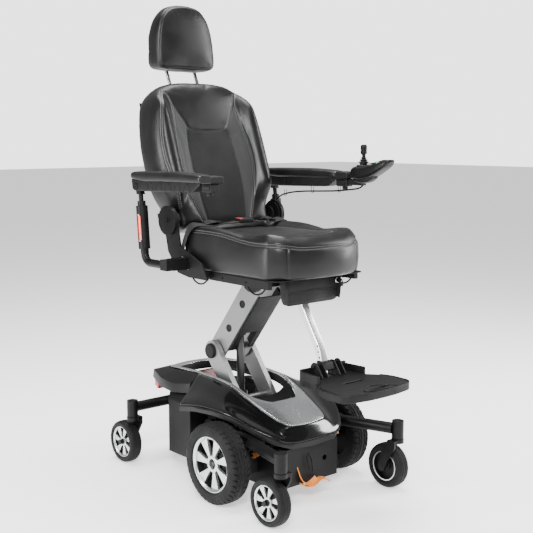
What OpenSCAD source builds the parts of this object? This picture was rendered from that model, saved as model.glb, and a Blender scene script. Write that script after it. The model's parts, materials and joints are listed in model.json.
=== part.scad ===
// Power wheelchair with a seat lift, shown with the seat raised.
// +Z is up and the chair faces -Y. X = 0 is the chair's middle and Z = 0 is the floor.
// Inside the modules, Y is measured from the drive axle, and from_axle() moves a piece to the row's origin.

/* [Base] */
// Width over the drive tyres
overall_w = 610; // [600:1:620]
// Drive axle's distance behind the origin, which is the middle of the chair's length
axle_y = -71; // [-76:1:-68]
// Thickness of the moulded covers
cover_t = 4; // [3:0.5:5]

/* [Drive wheels] */
// Drive tyre diameter
drive_d = 266; // [260:1:270]
// Drive tyre width
drive_tyre_w = 74; // [70:1:76]
// Drive rim diameter
drive_rim_d = 184; // [178:1:186]
// Number of wheel spokes
drive_spokes = 7; // [5:1:8]

/* [Casters] */
// Caster tyre diameter
caster_d = 152; // [150:1:154]
// Caster tyre width
caster_w = 46; // [42:1:48]
// Caster rim diameter
caster_rim_d = 112; // [104:1:116]
// Caster trail, from the swivel axis to the wheel axle
caster_trail = 43; // [40:1:45]
// Front swivel axis, distance from the middle
front_caster_x = 260; // [256:1:264]
// Front swivel axis, distance ahead of the drive axle
front_caster_y = 300; // [294:1:306]
// Rear swivel axis, distance from the middle
rear_caster_x = 269; // [264:1:272]
// Rear swivel axis, distance behind the drive axle
rear_caster_y = 499; // [494:1:504]

/* [Lift] */
// Height of the lift's lower pivot
lift_low_z = 170; // [168:1:172]
// Height of the knee above the lower pivot, equal to that of the upper pivot above the knee
lift_half_h = 260; // [258:1:262]
// How far the knee stands behind both other pivots
lift_reach = 205; // [203:1:207]
// Both end pivots' distance behind the drive axle
lift_y = 65; // [63:1:67]

/* [Seat] */
// Width of the seat cushion
cushion_w = 414; // [408:1:416]
// Length of the seat cushion
cushion_l = 498; // [492:1:500]
// Height of the seat rails' top
rail_z = 735; // [733:1:737]
// Angle of the backrest behind the vertical
recline = 20; // [18:1:22]
// Height of the recline hinge
hinge_z = 896; // [892:1:900]
// Recline hinge's distance behind the drive axle
hinge_y = 304; // [300:1:306]
// Middle of the arm posts
arm_x = 300; // [298:1:302]

/* [Hidden] */
$fn = 48;

charcoal = [0.2, 0.2, 0.21];
black = [0.08, 0.08, 0.08];
silver = [0.78, 0.78, 0.77];
grey = [0.33, 0.33, 0.34];
run = 0.05;                             // radial clearance of a running fit
drive_x = (overall_w - drive_tyre_w) / 2;
drive_z = drive_d / 2;
caster_z = caster_d / 2;
caster_off = 3;                         // how far a caster wheel stands outboard of its swivel axis
axle_r = 9;
caster_axle_r = 6;
stem_r = 8;
front_swivel_z = [180, 240];            // bottom and top of the front swivel barrels
rear_swivel_z = [178, 236];
barrel_r = 20;
arm_pivot_y = -75;
arm_pivot_z = 202;
arm_pivot_r = 10;
beam_z = 210;
lift_pin_r = 10;
knee_y = lift_y + lift_reach;
knee_z = lift_low_z + lift_half_h;
lift_top_z = lift_low_z + 2 * lift_half_h;
lift_len = norm([lift_reach, lift_half_h]);
lift_angle = atan2(lift_half_h, lift_reach);
ram_y = 205;                            // actuator trunnion, low in the base
ram_z = 135;
ram_top_y = 215;                        // actuator rod end, inside the upper arms
ram_top_z = 500;
ram_len = norm([ram_top_y - ram_y, ram_top_z - ram_z]);
ram_lean = atan2(ram_top_y - ram_y, ram_top_z - ram_z);
hinge_x = 224;
hinge_pin_r = 8;
arm_pivot_pad = [380, 1010];            // armrest pivot, Y and Z
stick_x = 292;
stick_y = -96;
stick_z = 1078;
gimbal_pin_r = 2;
gimbal_z = 1070;
foot_hinge_y = -224;
foot_hinge_z = 456;
post_lean = 24;                         // headrest posts' lean behind the vertical
headrest_post_r = 6;
post_x = 62;
post_y = 545;
post_z = 1390;

// ---- helpers ----
module from_axle() { translate([0, axle_y, 0]) children(); }
module both_sides() { children(); mirror([1, 0, 0]) children(); }

// Cylinder along X from x0 to x1
module bar_x(x0, x1, y, z, r) {
    translate([x0, y, z]) rotate([0, 90, 0]) cylinder(r = r, h = x1 - x0);
}
// Cylinder between two points
module bar(p, q, r) {
    d = q - p;
    translate(p) rotate([0, acos(d.z / norm(d)), atan2(d.y, d.x)]) cylinder(r = r, h = norm(d));
}
// Extrudes an outline drawn in Y and Z from x0 to x1
module plate_x(x0, x1) {
    translate([x0, 0, 0]) rotate([90, 0, 90]) linear_extrude(x1 - x0) children();
}
module box(lo, hi) { translate(lo) cube(hi - lo); }

// Upright block with rounded vertical edges, centred in X and Y
module slab(w, l, h, r) {
    linear_extrude(h) {
        square([w - 2 * r, l], center = true);
        square([w, l - 2 * r], center = true);
        for (x = [-1, 1], y = [-1, 1]) translate([x * (w / 2 - r), y * (l / 2 - r)]) circle(r);
    }
}
// Closed solid through rows of points, each row a closed ring of the same count
module loft(rows) {
    n = len(rows[0]);
    m = len(rows);
    sides = [for (i = [0:m - 2], j = [0:n - 1]) let (k = (j + 1) % n)
        each [[i * n + j, i * n + k, (i + 1) * n + k], [i * n + j, (i + 1) * n + k, (i + 1) * n + j]]];
    polyhedron([for (r = rows) each r],
        concat(sides, [[for (j = [n - 1:-1:0]) j], [for (j = [0:n - 1]) (m - 1) * n + j]]), convexity = 6);
}
function reversed(v) = [for (i = [len(v) - 1:-1:0]) v[i]];
// Closed skin ring: the outer points, then the same points lowered by the cover's thickness
function skin(pts) = concat(pts, [for (p = reversed(pts)) p - [0, 0, cover_t]]);

// ---- base ----
module base_frame() color(charcoal) from_axle() {
    difference() {
        both_sides() plate_x(132, 138)
            polygon([[-150, 66], [-105, 226], [-45, 226], [-20, 200], [236, 200], [250, 178],
                [250, 45], [-120, 45]]);
        bar_x(-150, 150, arm_pivot_y, arm_pivot_z, arm_pivot_r);
    }
    box([-132, -120, 45], [132, 250, 51]);
    box([-132, -105, 186], [132, -93, 226]);
    both_sides() {
        bar_x(120, 218, arm_pivot_y, arm_pivot_z, arm_pivot_r);
        plate_x(94, 100) polygon([[20, 51], [110, 51], [95, 170], [85, 196], [45, 196], [35, 170]]);
        box([60, 250, 45], [84, 470, 57]);
        // posts under the shroud
        for (y = [90, 205]) box([108, y, 50], [116, y + 12, y == 90 ? 323.5 : 340]);
    }
    bar_x(-102, 102, lift_y, lift_low_z, lift_pin_r);
    box([-84, 462, 45], [84, 470, 250]);
    // lamp bracket above the rear beam's hub
    box([-20, 469, 244], [20, 534, 250]);
    translate([0, 470, beam_z]) rotate([-90, 0, 0]) cylinder(r = 12, h = 50);
    // actuator trunnion ears
    both_sides() difference() {
        box([26, 185, 51], [32, 225, 155]);
        bar_x(20, 40, ram_y, ram_z, 6 + run);
    }
}

battery_plan = [[-186, 262], [-186, 392], [-120, 455], [120, 455], [186, 392], [186, 262]];
module battery_housing() color(charcoal) from_axle() difference() {
    intersection() {
        translate([0, 0, 57]) linear_extrude(216) polygon(battery_plan);
        // bevelled top edges
        translate([0, 500, 0]) rotate([90, 0, 0]) linear_extrude(300)
            polygon([[-186, 57], [-186, 250], [-164, 273], [164, 273], [186, 250], [186, 57]]);
    }
    // channel that the lift arms fold into
    box([-106, 255, 185], [106, 460, 280]);
    // channel's lower part for the actuator
    box([-34, 255, 50], [34, 290, 190]);
    // battery bays and controller bay
    both_sides() box([111, 267, 62], [181, 388, 240]);
    box([-101, 295, 62], [101, 450, 180]);
}
module batteries() color([0.25, 0.28, 0.32]) from_axle() both_sides() {
    box([112, 268, 62], [180, 387, 226]);
    for (y = [290, 366]) translate([146, y, 226]) cylinder(r = 6, h = 10);
}
module controller() color([0.4, 0.4, 0.42]) from_axle() {
    box([-90, 302, 62], [90, 442, 105]);
    for (x = [-72:24:72]) box([x - 3, 312, 105], [x + 3, 432, 123]);
}
module motors() color([0.28, 0.28, 0.29]) from_axle() both_sides() {
    difference() {
        box([138, -46, 84], [212, 46, 182]);
        box([205, -60, 150], [214, 60, 190]);
    }
    // lug and pin of the freewheel lever
    box([148, -66, 142], [156, -46, 158]);
    bar_x(150, 172, -58, 150, 4);
    translate([180, 46, drive_z]) rotate([-90, 0, 0]) cylinder(r = 38, h = 160);
    translate([180, 206, drive_z]) rotate([-90, 0, 0]) cylinder(r = 24, h = 20);
    bar_x(212, drive_x + 14, 0, drive_z, axle_r);
    bar_x(212, 222, 0, drive_z, 24);
}

// Half paths from the wing tip to the middle of the nose: the trim's outer edge, the shroud's hem
trim_edge = [[118, 300, 348], [119, 200, 345], [120, 110, 335], [114, 30, 309], [103, -50, 278],
    [84, -126, 250], [48, -143, 246], [0, -149, 245]];
hem_edge = [[240, 246, 268], [238, 160, 284], [234, 70, 290], [222, 0, 283], [194, -75, 256],
    [146, -142, 221], [92, -168, 203], [0, -176, 202]];
bulge = [6, 10, 6, 0, 0, 4, 4, 3];
function outward(d) = [d.x, d.y, 0] / norm([d.x, d.y]);
function shroud_row(i) = let (a = trim_edge[i], b = hem_edge[i])
    skin([a, (a + b) / 2 + outward(b - a) * min(a.x, bulge[i]) / 2 + [0, 0, bulge[i]], b]);
module main_shroud() color(black) from_axle() both_sides() loft([for (i = [0:7]) shroud_row(i)]);

trim_outer = concat([[0, 520, 335], [100, 495, 336], [115, 440, 341], [118, 370, 346]], trim_edge);
trim_inner = [[0, 476, 338], [93, 448, 340], [101, 425, 342], [104, 365, 346], [104, 300, 348],
    [105, 195, 345], [105, 110, 335], [92, 40, 310], [56, -16, 297], [30, -22, 297], [16, -24, 297],
    [0, -25, 297]];
module shroud_trim() color(silver) from_axle() both_sides()
    loft([for (i = [0:11]) skin([trim_inner[i], trim_outer[i]])]);

rear_hem = [[0, 584, 288], [134, 567, 288], [176, 462, 280], [186, 366, 278], [168, 292.6, 286]];
rear_ridge = [[0, 581, 318], [132, 564, 318], [172, 458, 313], [180, 364, 310], [160, 294, 320]];
rear_top = [[0, 522, 333], [102, 497, 333], [117, 441, 338], [120, 370, 343], [120, 301, 345]];
rear_in = [[0, 5, 0], [3, 4, 0], [5, 1, 0], [5, 0, 0], [5, -0.875, 0]];
function rear_row(i) = let (drop = [0, 0, cover_t + 1])
    [rear_top[i], rear_ridge[i], rear_hem[i], rear_hem[i] - rear_in[i],
        rear_ridge[i] - rear_in[i] - drop, rear_top[i] - drop];
module rear_cover() color(grey) from_axle() both_sides() loft([for (i = [0:4]) rear_row(i)]);
module rear_lamps() color([0.6, 0.05, 0.05]) from_axle() {
    both_sides() box([70, 540, 258], [136, 551, 284]);
    box([-136, 528, 250], [136, 540, 287]);
}

// Band below the shroud's hem
skirt_h = 18;
function skirt_row(p) = let (q = p - [0, 0, cover_t], x1 = p.x > 0 ? 1 : 0, x0 = p.x > 0 ? -5 : 0)
    [q + [x1, -1, 0], q + [x1, -1, -skirt_h], q + [x0, 3, -skirt_h], q + [x0, 3, 0]];
module lower_skirt() color(grey) from_axle() both_sides() loft([for (p = hem_edge) skirt_row(p)]);
module drop_plate() color(black) from_axle() {
    difference() {
        box([-118, -158, 51], [118, -152, 179]);
        translate([60, -150, 120]) rotate([90, 0, 0]) cylinder(r = 9, h = 12);
    }
    both_sides() box([108, -152, 51], [118, -120, 179]);
    box([-118, -152, 51], [118, -110, 57]);
}
// Folded webbing loop that hangs from the front of the base
strap_loop = [[0, 98], [-14, 72], [-28, 50], [-38, 45], [-42, 49], [-36, 54], [-26, 62], [-12, 80], [0, 104]];
module transit_strap() color([0.95, 0.5, 0.12]) from_axle()
    translate([0, -158, 0]) for (x = [-20, 34]) plate_x(x, x + 26) polygon(strap_loop);

// ---- casters ----
module swivel_barrel(z) {
    difference() {
        translate([0, 0, z[0]]) cylinder(r = barrel_r, h = z[1] - z[0]);
        translate([0, 0, z[0] - 1]) cylinder(r = stem_r + run, h = z[1] - z[0] - 11);
    }
    // domed cap, trimmed from a wide ball
    intersection() {
        translate([0, 0, z[1] - 42]) sphere(r = 46);
        translate([0, 0, z[1]]) cylinder(r = barrel_r - 1, h = 10);
    }
}
module front_arm() color(charcoal) from_axle() {
    difference() {
        union() {
            bar_x(150, 214, arm_pivot_y, arm_pivot_z, 24);
            bar([200, arm_pivot_y - 14, arm_pivot_z + 4],
                [front_caster_x - 9, -front_caster_y + 12, 212], 19);
        }
        bar_x(140, 220, arm_pivot_y, arm_pivot_z, arm_pivot_r + run);
        translate([front_caster_x, -front_caster_y, 150]) cylinder(r = barrel_r - 0.5, h = 120);
    }
    translate([front_caster_x, -front_caster_y, 0]) swivel_barrel(front_swivel_z);
}
module front_arm_left() front_arm();
module front_arm_right() mirror([1, 0, 0]) front_arm();

module rear_beam() color(charcoal) from_axle() {
    difference() {
        union() {
            translate([0, 474, beam_z]) rotate([-90, 0, 0]) cylinder(r = 25, h = 44);
            bar_x(-rear_caster_x + 14, rear_caster_x - 14, rear_caster_y, beam_z, 18);
        }
        translate([0, 460, beam_z]) rotate([-90, 0, 0]) cylinder(r = 12 + run, h = 80);
        both_sides() translate([rear_caster_x, rear_caster_y, 150]) cylinder(r = barrel_r - 0.5, h = 120);
    }
    both_sides() translate([rear_caster_x, rear_caster_y, 0]) swivel_barrel(rear_swivel_z);
}

// A caster's pieces for a swivel axis at +x, with the barrel's bottom at z0
module fork(x, y, z0) color(charcoal) from_axle() translate([x, y, 0]) {
    arm_in = caster_off - caster_w / 2 - 5;
    translate([0, 0, z0 - 16]) cylinder(r = 21, h = 14);
    translate([0, 0, z0 - 4]) cylinder(r = stem_r, h = 46);
    box([arm_in - 8, -15, z0 - 16], [0, 15, z0 - 4]);
    plate_x(arm_in - 8, arm_in) {
        polygon([[-15, z0 - 4], [15, z0 - 4], [40, z0 - 34], [caster_trail + 15, caster_z],
            [caster_trail - 15, caster_z - 2], [16, caster_z + 26], [-15, z0 - 28]]);
        translate([caster_trail, caster_z]) circle(15);
    }
    bar_x(arm_in - 1, caster_off + caster_w / 2 + 2, caster_trail, caster_z, caster_axle_r);
    bar_x(caster_off + caster_w / 2 + 1, caster_off + caster_w / 2 + 5, caster_trail, caster_z, 9);
}
module caster_rim(x, y) color(silver) from_axle()
    translate([x + caster_off, y + caster_trail, caster_z]) rotate([0, 90, 0]) {
        w = caster_w - 4;
        r = caster_rim_d / 2;
        rotate_extrude() polygon([[r - 8, -w / 2], [r, -w / 2], [r, w / 2], [r - 8, w / 2]]);
        difference() {
            union() {
                translate([0, 0, -w / 2]) cylinder(r = 16, h = w);
                for (k = [0:5]) rotate(k * 60) translate([12, -7, w / 2 - 14]) cube([r - 16, 14, 10]);
                translate([0, 0, -4]) cylinder(r = r - 6, h = 6);
            }
            translate([0, 0, -w]) cylinder(r = caster_axle_r + run, h = 2 * w);
        }
    }
module caster_tyre(x, y) color(black) from_axle()
    translate([x + caster_off, y + caster_trail, caster_z]) rotate([0, 90, 0]) rotate_extrude() {
        h = caster_w / 2;
        ri = caster_rim_d / 2 + 0.2;
        ro = caster_d / 2;
        polygon([[ri, -h], [ro - 10, -h], [ro - 3, -h + 4], [ro, -h + 10], [ro, h - 10], [ro - 3, h - 4],
            [ro - 10, h], [ri, h]]);
    }
module front_left_fork() fork(front_caster_x, -front_caster_y, front_swivel_z[0]);
module front_right_fork() mirror([1, 0, 0]) front_left_fork();
module rear_left_fork() fork(rear_caster_x, rear_caster_y, rear_swivel_z[0]);
module rear_right_fork() mirror([1, 0, 0]) rear_left_fork();
module front_left_rim() caster_rim(front_caster_x, -front_caster_y);
module front_right_rim() mirror([1, 0, 0]) front_left_rim();
module rear_left_rim() caster_rim(rear_caster_x, rear_caster_y);
module rear_right_rim() mirror([1, 0, 0]) rear_left_rim();
module front_left_tyre() caster_tyre(front_caster_x, -front_caster_y);
module front_right_tyre() mirror([1, 0, 0]) front_left_tyre();
module rear_left_tyre() caster_tyre(rear_caster_x, rear_caster_y);
module rear_right_tyre() mirror([1, 0, 0]) rear_left_tyre();

// ---- drive wheels ----
module drive_rim_left() color(silver) from_axle()
    translate([drive_x, 0, drive_z]) rotate([0, 90, 0]) {
        w = drive_tyre_w - 10;
        r = drive_rim_d / 2;
        rotate_extrude() polygon([[r - 9, -w / 2], [r, -w / 2], [r, w / 2], [r - 9, w / 2]]);
        difference() {
            union() {
                translate([0, 0, -26]) cylinder(r = 26, h = 42);
                for (k = [0:drive_spokes - 1]) rotate(k * 360 / drive_spokes)
                    translate([22, -11, 6]) cube([r - 27, 22, 14]);
                translate([0, 0, -6]) cylinder(r = r - 6, h = 6);
            }
            translate([0, 0, -40]) cylinder(r = axle_r + run, h = 60);
        }
    }
module drive_tyre_left() color(black) from_axle()
    translate([drive_x, 0, drive_z]) rotate([0, 90, 0]) rotate_extrude() {
        h = drive_tyre_w / 2;
        ri = drive_rim_d / 2 + 0.2;
        ro = drive_d / 2;
        polygon([[ri, -h + 4], [ri + 8, -h], [ro - 12, -h], [ro - 3, -h + 6], [ro, -h + 14], [ro, h - 14],
            [ro - 3, h - 6], [ro - 12, h], [ri + 8, h], [ri, h - 4]]);
    }
module drive_rim_right() mirror([1, 0, 0]) drive_rim_left();
module drive_tyre_right() mirror([1, 0, 0]) drive_tyre_left();

// Lever that frees the motor brake, on a pin at the gearbox's front
module freewheel_lever_left() color([0.75, 0.3, 0.1]) from_axle() difference() {
    union() {
        bar_x(160, 168, -58, 150, 9);
        plate_x(160, 168) polygon([[-66, 146], [-60, 156], [-96, 176], [-104, 166]]);
        bar_x(152, 176, -101, 170, 5);
    }
    bar_x(150, 180, -58, 150, 4 + run);
}
module freewheel_lever_right() mirror([1, 0, 0]) freewheel_lever_left();

// ---- lift ----
// Outline of an arm from pivot a to pivot b, drawn in Y and Z
module arm_outline(a, b, ra, rb) {
    translate(a) circle(ra);
    translate(b) circle(rb);
    d = (b - a) / norm(b - a);
    n = [-d.y, d.x];
    polygon([a + n * ra, b + n * rb, b - n * rb, a - n * ra]);
}
low_pivot = [lift_y, lift_low_z];
knee = [knee_y, knee_z];
top_pivot = [lift_y, lift_top_z];
module lower_arms() color([0.62, 0.62, 0.6]) from_axle() {
    difference() {
        both_sides() plate_x(64, 84) arm_outline(low_pivot, knee, 30, 36);
        bar_x(-100, 100, lift_y, lift_low_z, lift_pin_r + run);
        bar_x(-100, 100, knee_y, knee_z, 12 + run);
    }
    // tie bar between the two castings
    bar_x(-66, 66, lift_y + lift_reach * 0.42, lift_low_z + lift_half_h * 0.42 - 3, 9);
}
module knee_shaft() color(black) from_axle() {
    bar_x(-88, 88, knee_y, knee_z, 12);
    both_sides() bar_x(84.5, 91, knee_y, knee_z, 27);
}
module upper_arms() color(silver) from_axle() difference() {
    both_sides() {
        plate_x(52, 60) difference() {
            arm_outline(knee, top_pivot, 41, 41);
            for (f = [0.34, 0.7]) translate(knee + (top_pivot - knee) * f) circle(12);
        }
    }
    bar_x(-70, 70, lift_y, lift_top_z, lift_pin_r + run);
    bar_x(-70, 70, knee_y, knee_z, 12 + run);
}
// Channel that closes the arms' front edge; u runs from the knee to the upper pivot
module arm_cover() color(charcoal) from_axle() translate([0, knee_y, knee_z]) rotate([-lift_angle, 0, 0]) {
    difference() {
        box([-52, -lift_len + 24, -46], [52, -46, -8]);
        box([-47, -lift_len + 10, -41.5], [47, -40, -4]);
        // slot for the actuator
        box([-27, -128, -60], [27, -40, 0]);
    }
}
module ram_place() { from_axle() translate([0, ram_y, ram_z]) rotate([-ram_lean, 0, 0]) children(); }
module actuator_body() color(black) ram_place() difference() {
    union() {
        translate([0, 0, -68]) cylinder(r = 20, h = 218);
        rotate([0, 90, 0]) translate([0, 0, -33]) cylinder(r = 6, h = 66);
        translate([0, 0, 138]) cylinder(r = 23, h = 12);
    }
    translate([0, 0, -60]) cylinder(r = 14 + run, h = 240);
}
module actuator_rod() color([0.3, 0.3, 0.31]) ram_place() {
    translate([0, 0, 118]) cylinder(r = 14, h = ram_len - 128);
    translate([0, 0, ram_len]) rotate([0, 90, 0]) translate([0, 0, -24]) cylinder(r = 10, h = 48);
    translate([-16, -14, ram_len - 16]) cube([32, 28, 26]);
}

// ---- seat ----
cushion_half = [for (p = [[0, -236], [80, -230], [150, -208], [188, -176], [203, -120], [207, 150],
    [204, 236], [170, 262]]) [p.x * cushion_w / 414, p.y * cushion_l / 498]];
cushion_plan = concat(cushion_half, [for (p = reversed(cushion_half)) [-p.x, p.y]]);
module seat_frame() color(charcoal) from_axle() {
    difference() {
        both_sides() box([180, -168, rail_z - 26], [196, 210, rail_z]);
        both_sides() for (y = [-60, 60]) bar_x(170, 200, y, rail_z - 13, 3.3);
    }
    for (y = [-110, 150]) box([-180, y - 12, rail_z - 26], [180, y + 12, rail_z - 4]);
    both_sides() {
        box([64, -110, rail_z - 24], [72, 150, rail_z - 5]);
        difference() {
            plate_x(64, 72)
                polygon([[20, rail_z - 20], [30, 672], [50, 662], [80, 662], [100, 672], [112, rail_z - 20]]);
            bar_x(60, 80, lift_y, lift_top_z, lift_pin_r);
        }
        // receiver tubes for the arm posts
        difference() {
            box([196, 206, 738], [286, 244, 776]);
            box([190, 214, 746], [290, 236, 768]);
        }
        box([180, 206, rail_z - 26], [196, 244, 776]);
    }
    bar_x(-74, 74, lift_y, lift_top_z, lift_pin_r);
    // socket of the foot tube, below the front cross bar
    difference() {
        box([-22, -122, rail_z - 80], [22, -94, rail_z - 25]);
        box([-15.2, -119.2, rail_z - 90], [15.2, -96.8, rail_z - 20]);
    }
}
// Wire loop for a tie-down strap, a shallow arc below the rail
module tie_down(y) {
    bend_r = 55;
    translate([188, y, rail_z - 26 + bend_r - 22]) rotate([0, 90, 0]) rotate([0, 0, -56])
        rotate_extrude(angle = 112) translate([bend_r, 0]) circle(3);
}
module tie_downs() color(charcoal) from_axle() both_sides() difference() {
    for (y = [-100, 194]) tie_down(y);
    // the wire's ends stop at the rail's lower face
    box([170, -170, rail_z - 26], [206, 260, rail_z + 20]);
}

cushion_h = 138.7;
module seat_cushion() color(black) from_axle() translate([0, 0, rail_z + 0.3]) difference() {
    linear_extrude(cushion_h) polygon(cushion_plan);
    // dish between the raised sides
    translate([0, 0, cushion_h - 12 + 700]) rotate([90, 0, 0]) cylinder(r = 700, h = 600, center = true);
    // step at the rear lower edge, and notches over the receiver tubes
    box([-250, 232, -1], [250, 270, 30]);
    both_sides() box([179.7, 205.7, -1], [250, 270, 776.3 - rail_z]);
}
module pouch() color(charcoal) from_axle() {
    difference() {
        box([-113, -162, 646], [113, -123, 726]);
        box([-109, -158, 650], [109, -127, 722]);
    }
    box([-122, -166, 726], [122, -122, 732]);
}
module recline_brackets() color([0.3, 0.3, 0.31]) from_axle() both_sides() {
    plate_x(hinge_x, hinge_x + 6)
        difference() {
            union() {
                polygon([[96, 712], [200, 712], [262, 722], [318, 790], [hinge_y + 40, hinge_z],
                    [hinge_y - 40, hinge_z], [246, 812], [196, 792], [130, 766]]);
                translate([hinge_y, hinge_z]) circle(44);
            }
            translate([225, 757]) square([42, 42], center = true);
        }
    bar_x(hinge_x - 20, hinge_x + 24, hinge_y, hinge_z, hinge_pin_r);
    bar_x(hinge_x + 6, hinge_x + 20, hinge_y, hinge_z, 50);
    // spacers on the seat rail
    for (y = [125, 185]) bar_x(196, hinge_x, y, 723, 9);
}
// Lap belt lying along the cushion's rear, with both ends down to their anchors
module lap_belt() color(black) from_axle() {
    z = 880;
    belt_buckle();
    plate_x(-213, -18) polygon([[170, z], [222, z + 3], [222, z + 5], [170, z + 2]]);
    plate_x(26, 213) polygon([[170, z], [222, z + 3], [222, z + 5], [170, z + 2]]);
    both_sides() {
        plate_x(209, 213) polygon([[170, z], [222, z + 5], [280, 792], [252, 784]]);
        bar_x(213, hinge_x, 266, 790, 10);
    }
}
module belt_buckle() translate([5, 194, 883]) rotate([3, 0, 0]) linear_extrude(16)
        polygon([[-32, -20], [26, -24], [32, -18], [32, 18], [26, 24], [-32, 20]]);

// ---- back: drawn upright in its own frame, then leaned about the recline hinge ----
module back_place() { from_axle() translate([0, hinge_y, hinge_z]) rotate([-recline, 0, 0]) children(); }
module back_frame() color(charcoal) {
    back_plate();
    headrest_guides();
}
module back_plate() back_place() {
    box([-190, 85, -10], [190, 89, 455]);
    both_sides() {
        difference() {
            plate_x(206, 214) union() {
                circle(28);
                polygon([[-20, -14], [20, -20], [89, -8], [89, 48], [60, 44], [20, 26], [-10, 26]]);
            }
            bar_x(200, 230, 0, 0, hinge_pin_r + run);
        }
        box([180, 85, -8], [214, 89, 48]);
        // lug between the plate and a headrest guide
        box([post_x - 8, 56, 385], [post_x + 8, 86, 430]);
    }
}
// Headrest guides: tubes in the backrest's crown, each with a collar on top
module headrest_guides() post_place() both_sides() difference() {
    union() {
        translate([post_x, 0, -175]) cylinder(r = 11, h = 131);
        translate([post_x, 0, -47]) cylinder(r = 14, h = 6);
    }
    translate([post_x, 0, -180]) cylinder(r = headrest_post_r + run, h = 150);
}
// Half outline of the backrest seen from the front, from its foot to its crown
back_half = [[0, -34], [190, -34], [200, 40], [230, 110], [240, 200], [236, 290], [220, 380],
    [194, 446], [144, 484], [84, 496], [0, 498]];
back_section = [[-214, 84], [-238, 50], [-240, -20], [-215, -52], [-150, -46], [-120, -26],
    [120, -26], [150, -46], [215, -52], [240, -20], [238, 50], [214, 84]];
module back_cushion() color(black) back_place() intersection() {
    difference() {
        translate([0, 0, -60]) linear_extrude(600) polygon(back_section);
        // slots at the rear for the headrest guides
        both_sides() box([post_x - 15, 30, 355], [post_x + 15, 100, 560]);
        // the bolsters start above the seat cushion
        plate_x(-250, 250) polygon([[-60, -70], [-26, -70], [-26, 0], [-60, 50]]);
    }
    translate([0, 100, 0]) rotate([90, 0, 0]) linear_extrude(200)
        polygon(concat(back_half, [for (p = reversed(back_half)) [-p.x, p.y]]));
}
module post_place() { from_axle() translate([0, post_y, post_z]) rotate([-post_lean, 0, 0]) children(); }
module headrest_posts() color([0.5, 0.5, 0.5]) post_place() both_sides()
    translate([post_x, 0, -165]) cylinder(r = headrest_post_r, h = 295);
module headrest_pad() color(black) difference() {
    from_axle() translate([0, 548, 1408]) rotate([85, 0, 0]) linear_extrude(100, center = true) {
        translate([-121, 12]) square([242, 100]);
        translate([0, 112]) intersection() {
            circle(121);
            translate([-121, 0]) square([242, 122]);
        }
    }
    post_place() both_sides() translate([post_x, 0, -10]) cylinder(r = headrest_post_r + run, h = 142);
}
// ---- arms ----
post_r = 14;
module arm_post() {
    bend_r = 34;
    y = 354;
    bar([arm_x, 238, 755], [arm_x, y - bend_r + 3, 755], post_r);
    translate([arm_x, y - bend_r, 755 + bend_r]) rotate([0, 90, 0]) rotate_extrude(angle = 90)
        translate([bend_r, 0]) circle(post_r - 0.6);
    bar([arm_x, y - 0.3, 755 + bend_r - 3], [arm_x, y + 16, 962], post_r);
    // padded sleeve
    bar([arm_x, y + 1.2, 800], [arm_x, y + 14.5, 946], 20);
    // fork stem and pivot at the top
    bar([arm_x, y + 15, 950], [arm_x, y + 20, 990], 8);
    plate_x(arm_x - 9, arm_x + 9) polygon([[360, 984], [386, 984], [392, 1010], [368, 1010]]);
    bar_x(arm_x - 9, arm_x + 9, arm_pivot_pad[0], arm_pivot_pad[1], 12);
    bar_x(pad_x - 26, pad_x + 26, arm_pivot_pad[0], arm_pivot_pad[1], 6);
    // collar, and the spigot in the seat frame's receiver
    box([arm_x - 14, 206, 739], [arm_x + 14, 244, 775]);
    bar_x(212, arm_x - 13, 225, 757, 10);
}
module arm_posts() color(charcoal) from_axle() both_sides() arm_post();

pad_x = 292;
module armrest() {
    difference() {
        union() {
            plate_x(pad_x - 31, pad_x + 31) polygon([[10, 1052], [12, 1032], [60, 1030], [330, 1026],
                [408, 1036], [414, 1052], [400, 1060], [140, 1064], [40, 1060]]);
            // grip block ahead of the pad
            plate_x(pad_x - 26, pad_x + 26) polygon([[-40, 1056], [-42, 1034], [14, 1032], [14, 1058]]);
            difference() {
                plate_x(pad_x - 24, pad_x + 24)
                    polygon([[20, 1034], [60, 1004], [330, 996], [400, 996], [408, 1038]]);
                // hollow between the side skirts
                plate_x(pad_x - 19, pad_x + 19) polygon([[40, 980], [450, 980], [450, 1024], [40, 1026]]);
                plate_x(pad_x - 40, pad_x + 40)
                    polygon([[330, 990], [340, 985], [430, 985], [430, 999], [345, 1003]]);
            }
        }
        bar_x(arm_x - 60, arm_x + 60, arm_pivot_pad[0], arm_pivot_pad[1], 6 + run);
    }
    box([pad_x - 16, -30, 1006], [pad_x + 16, 20, 1034]);
}
module armrest_left() color(charcoal) from_axle() armrest();
module armrest_right() color(charcoal) from_axle() mirror([1, 0, 0]) armrest();

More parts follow.
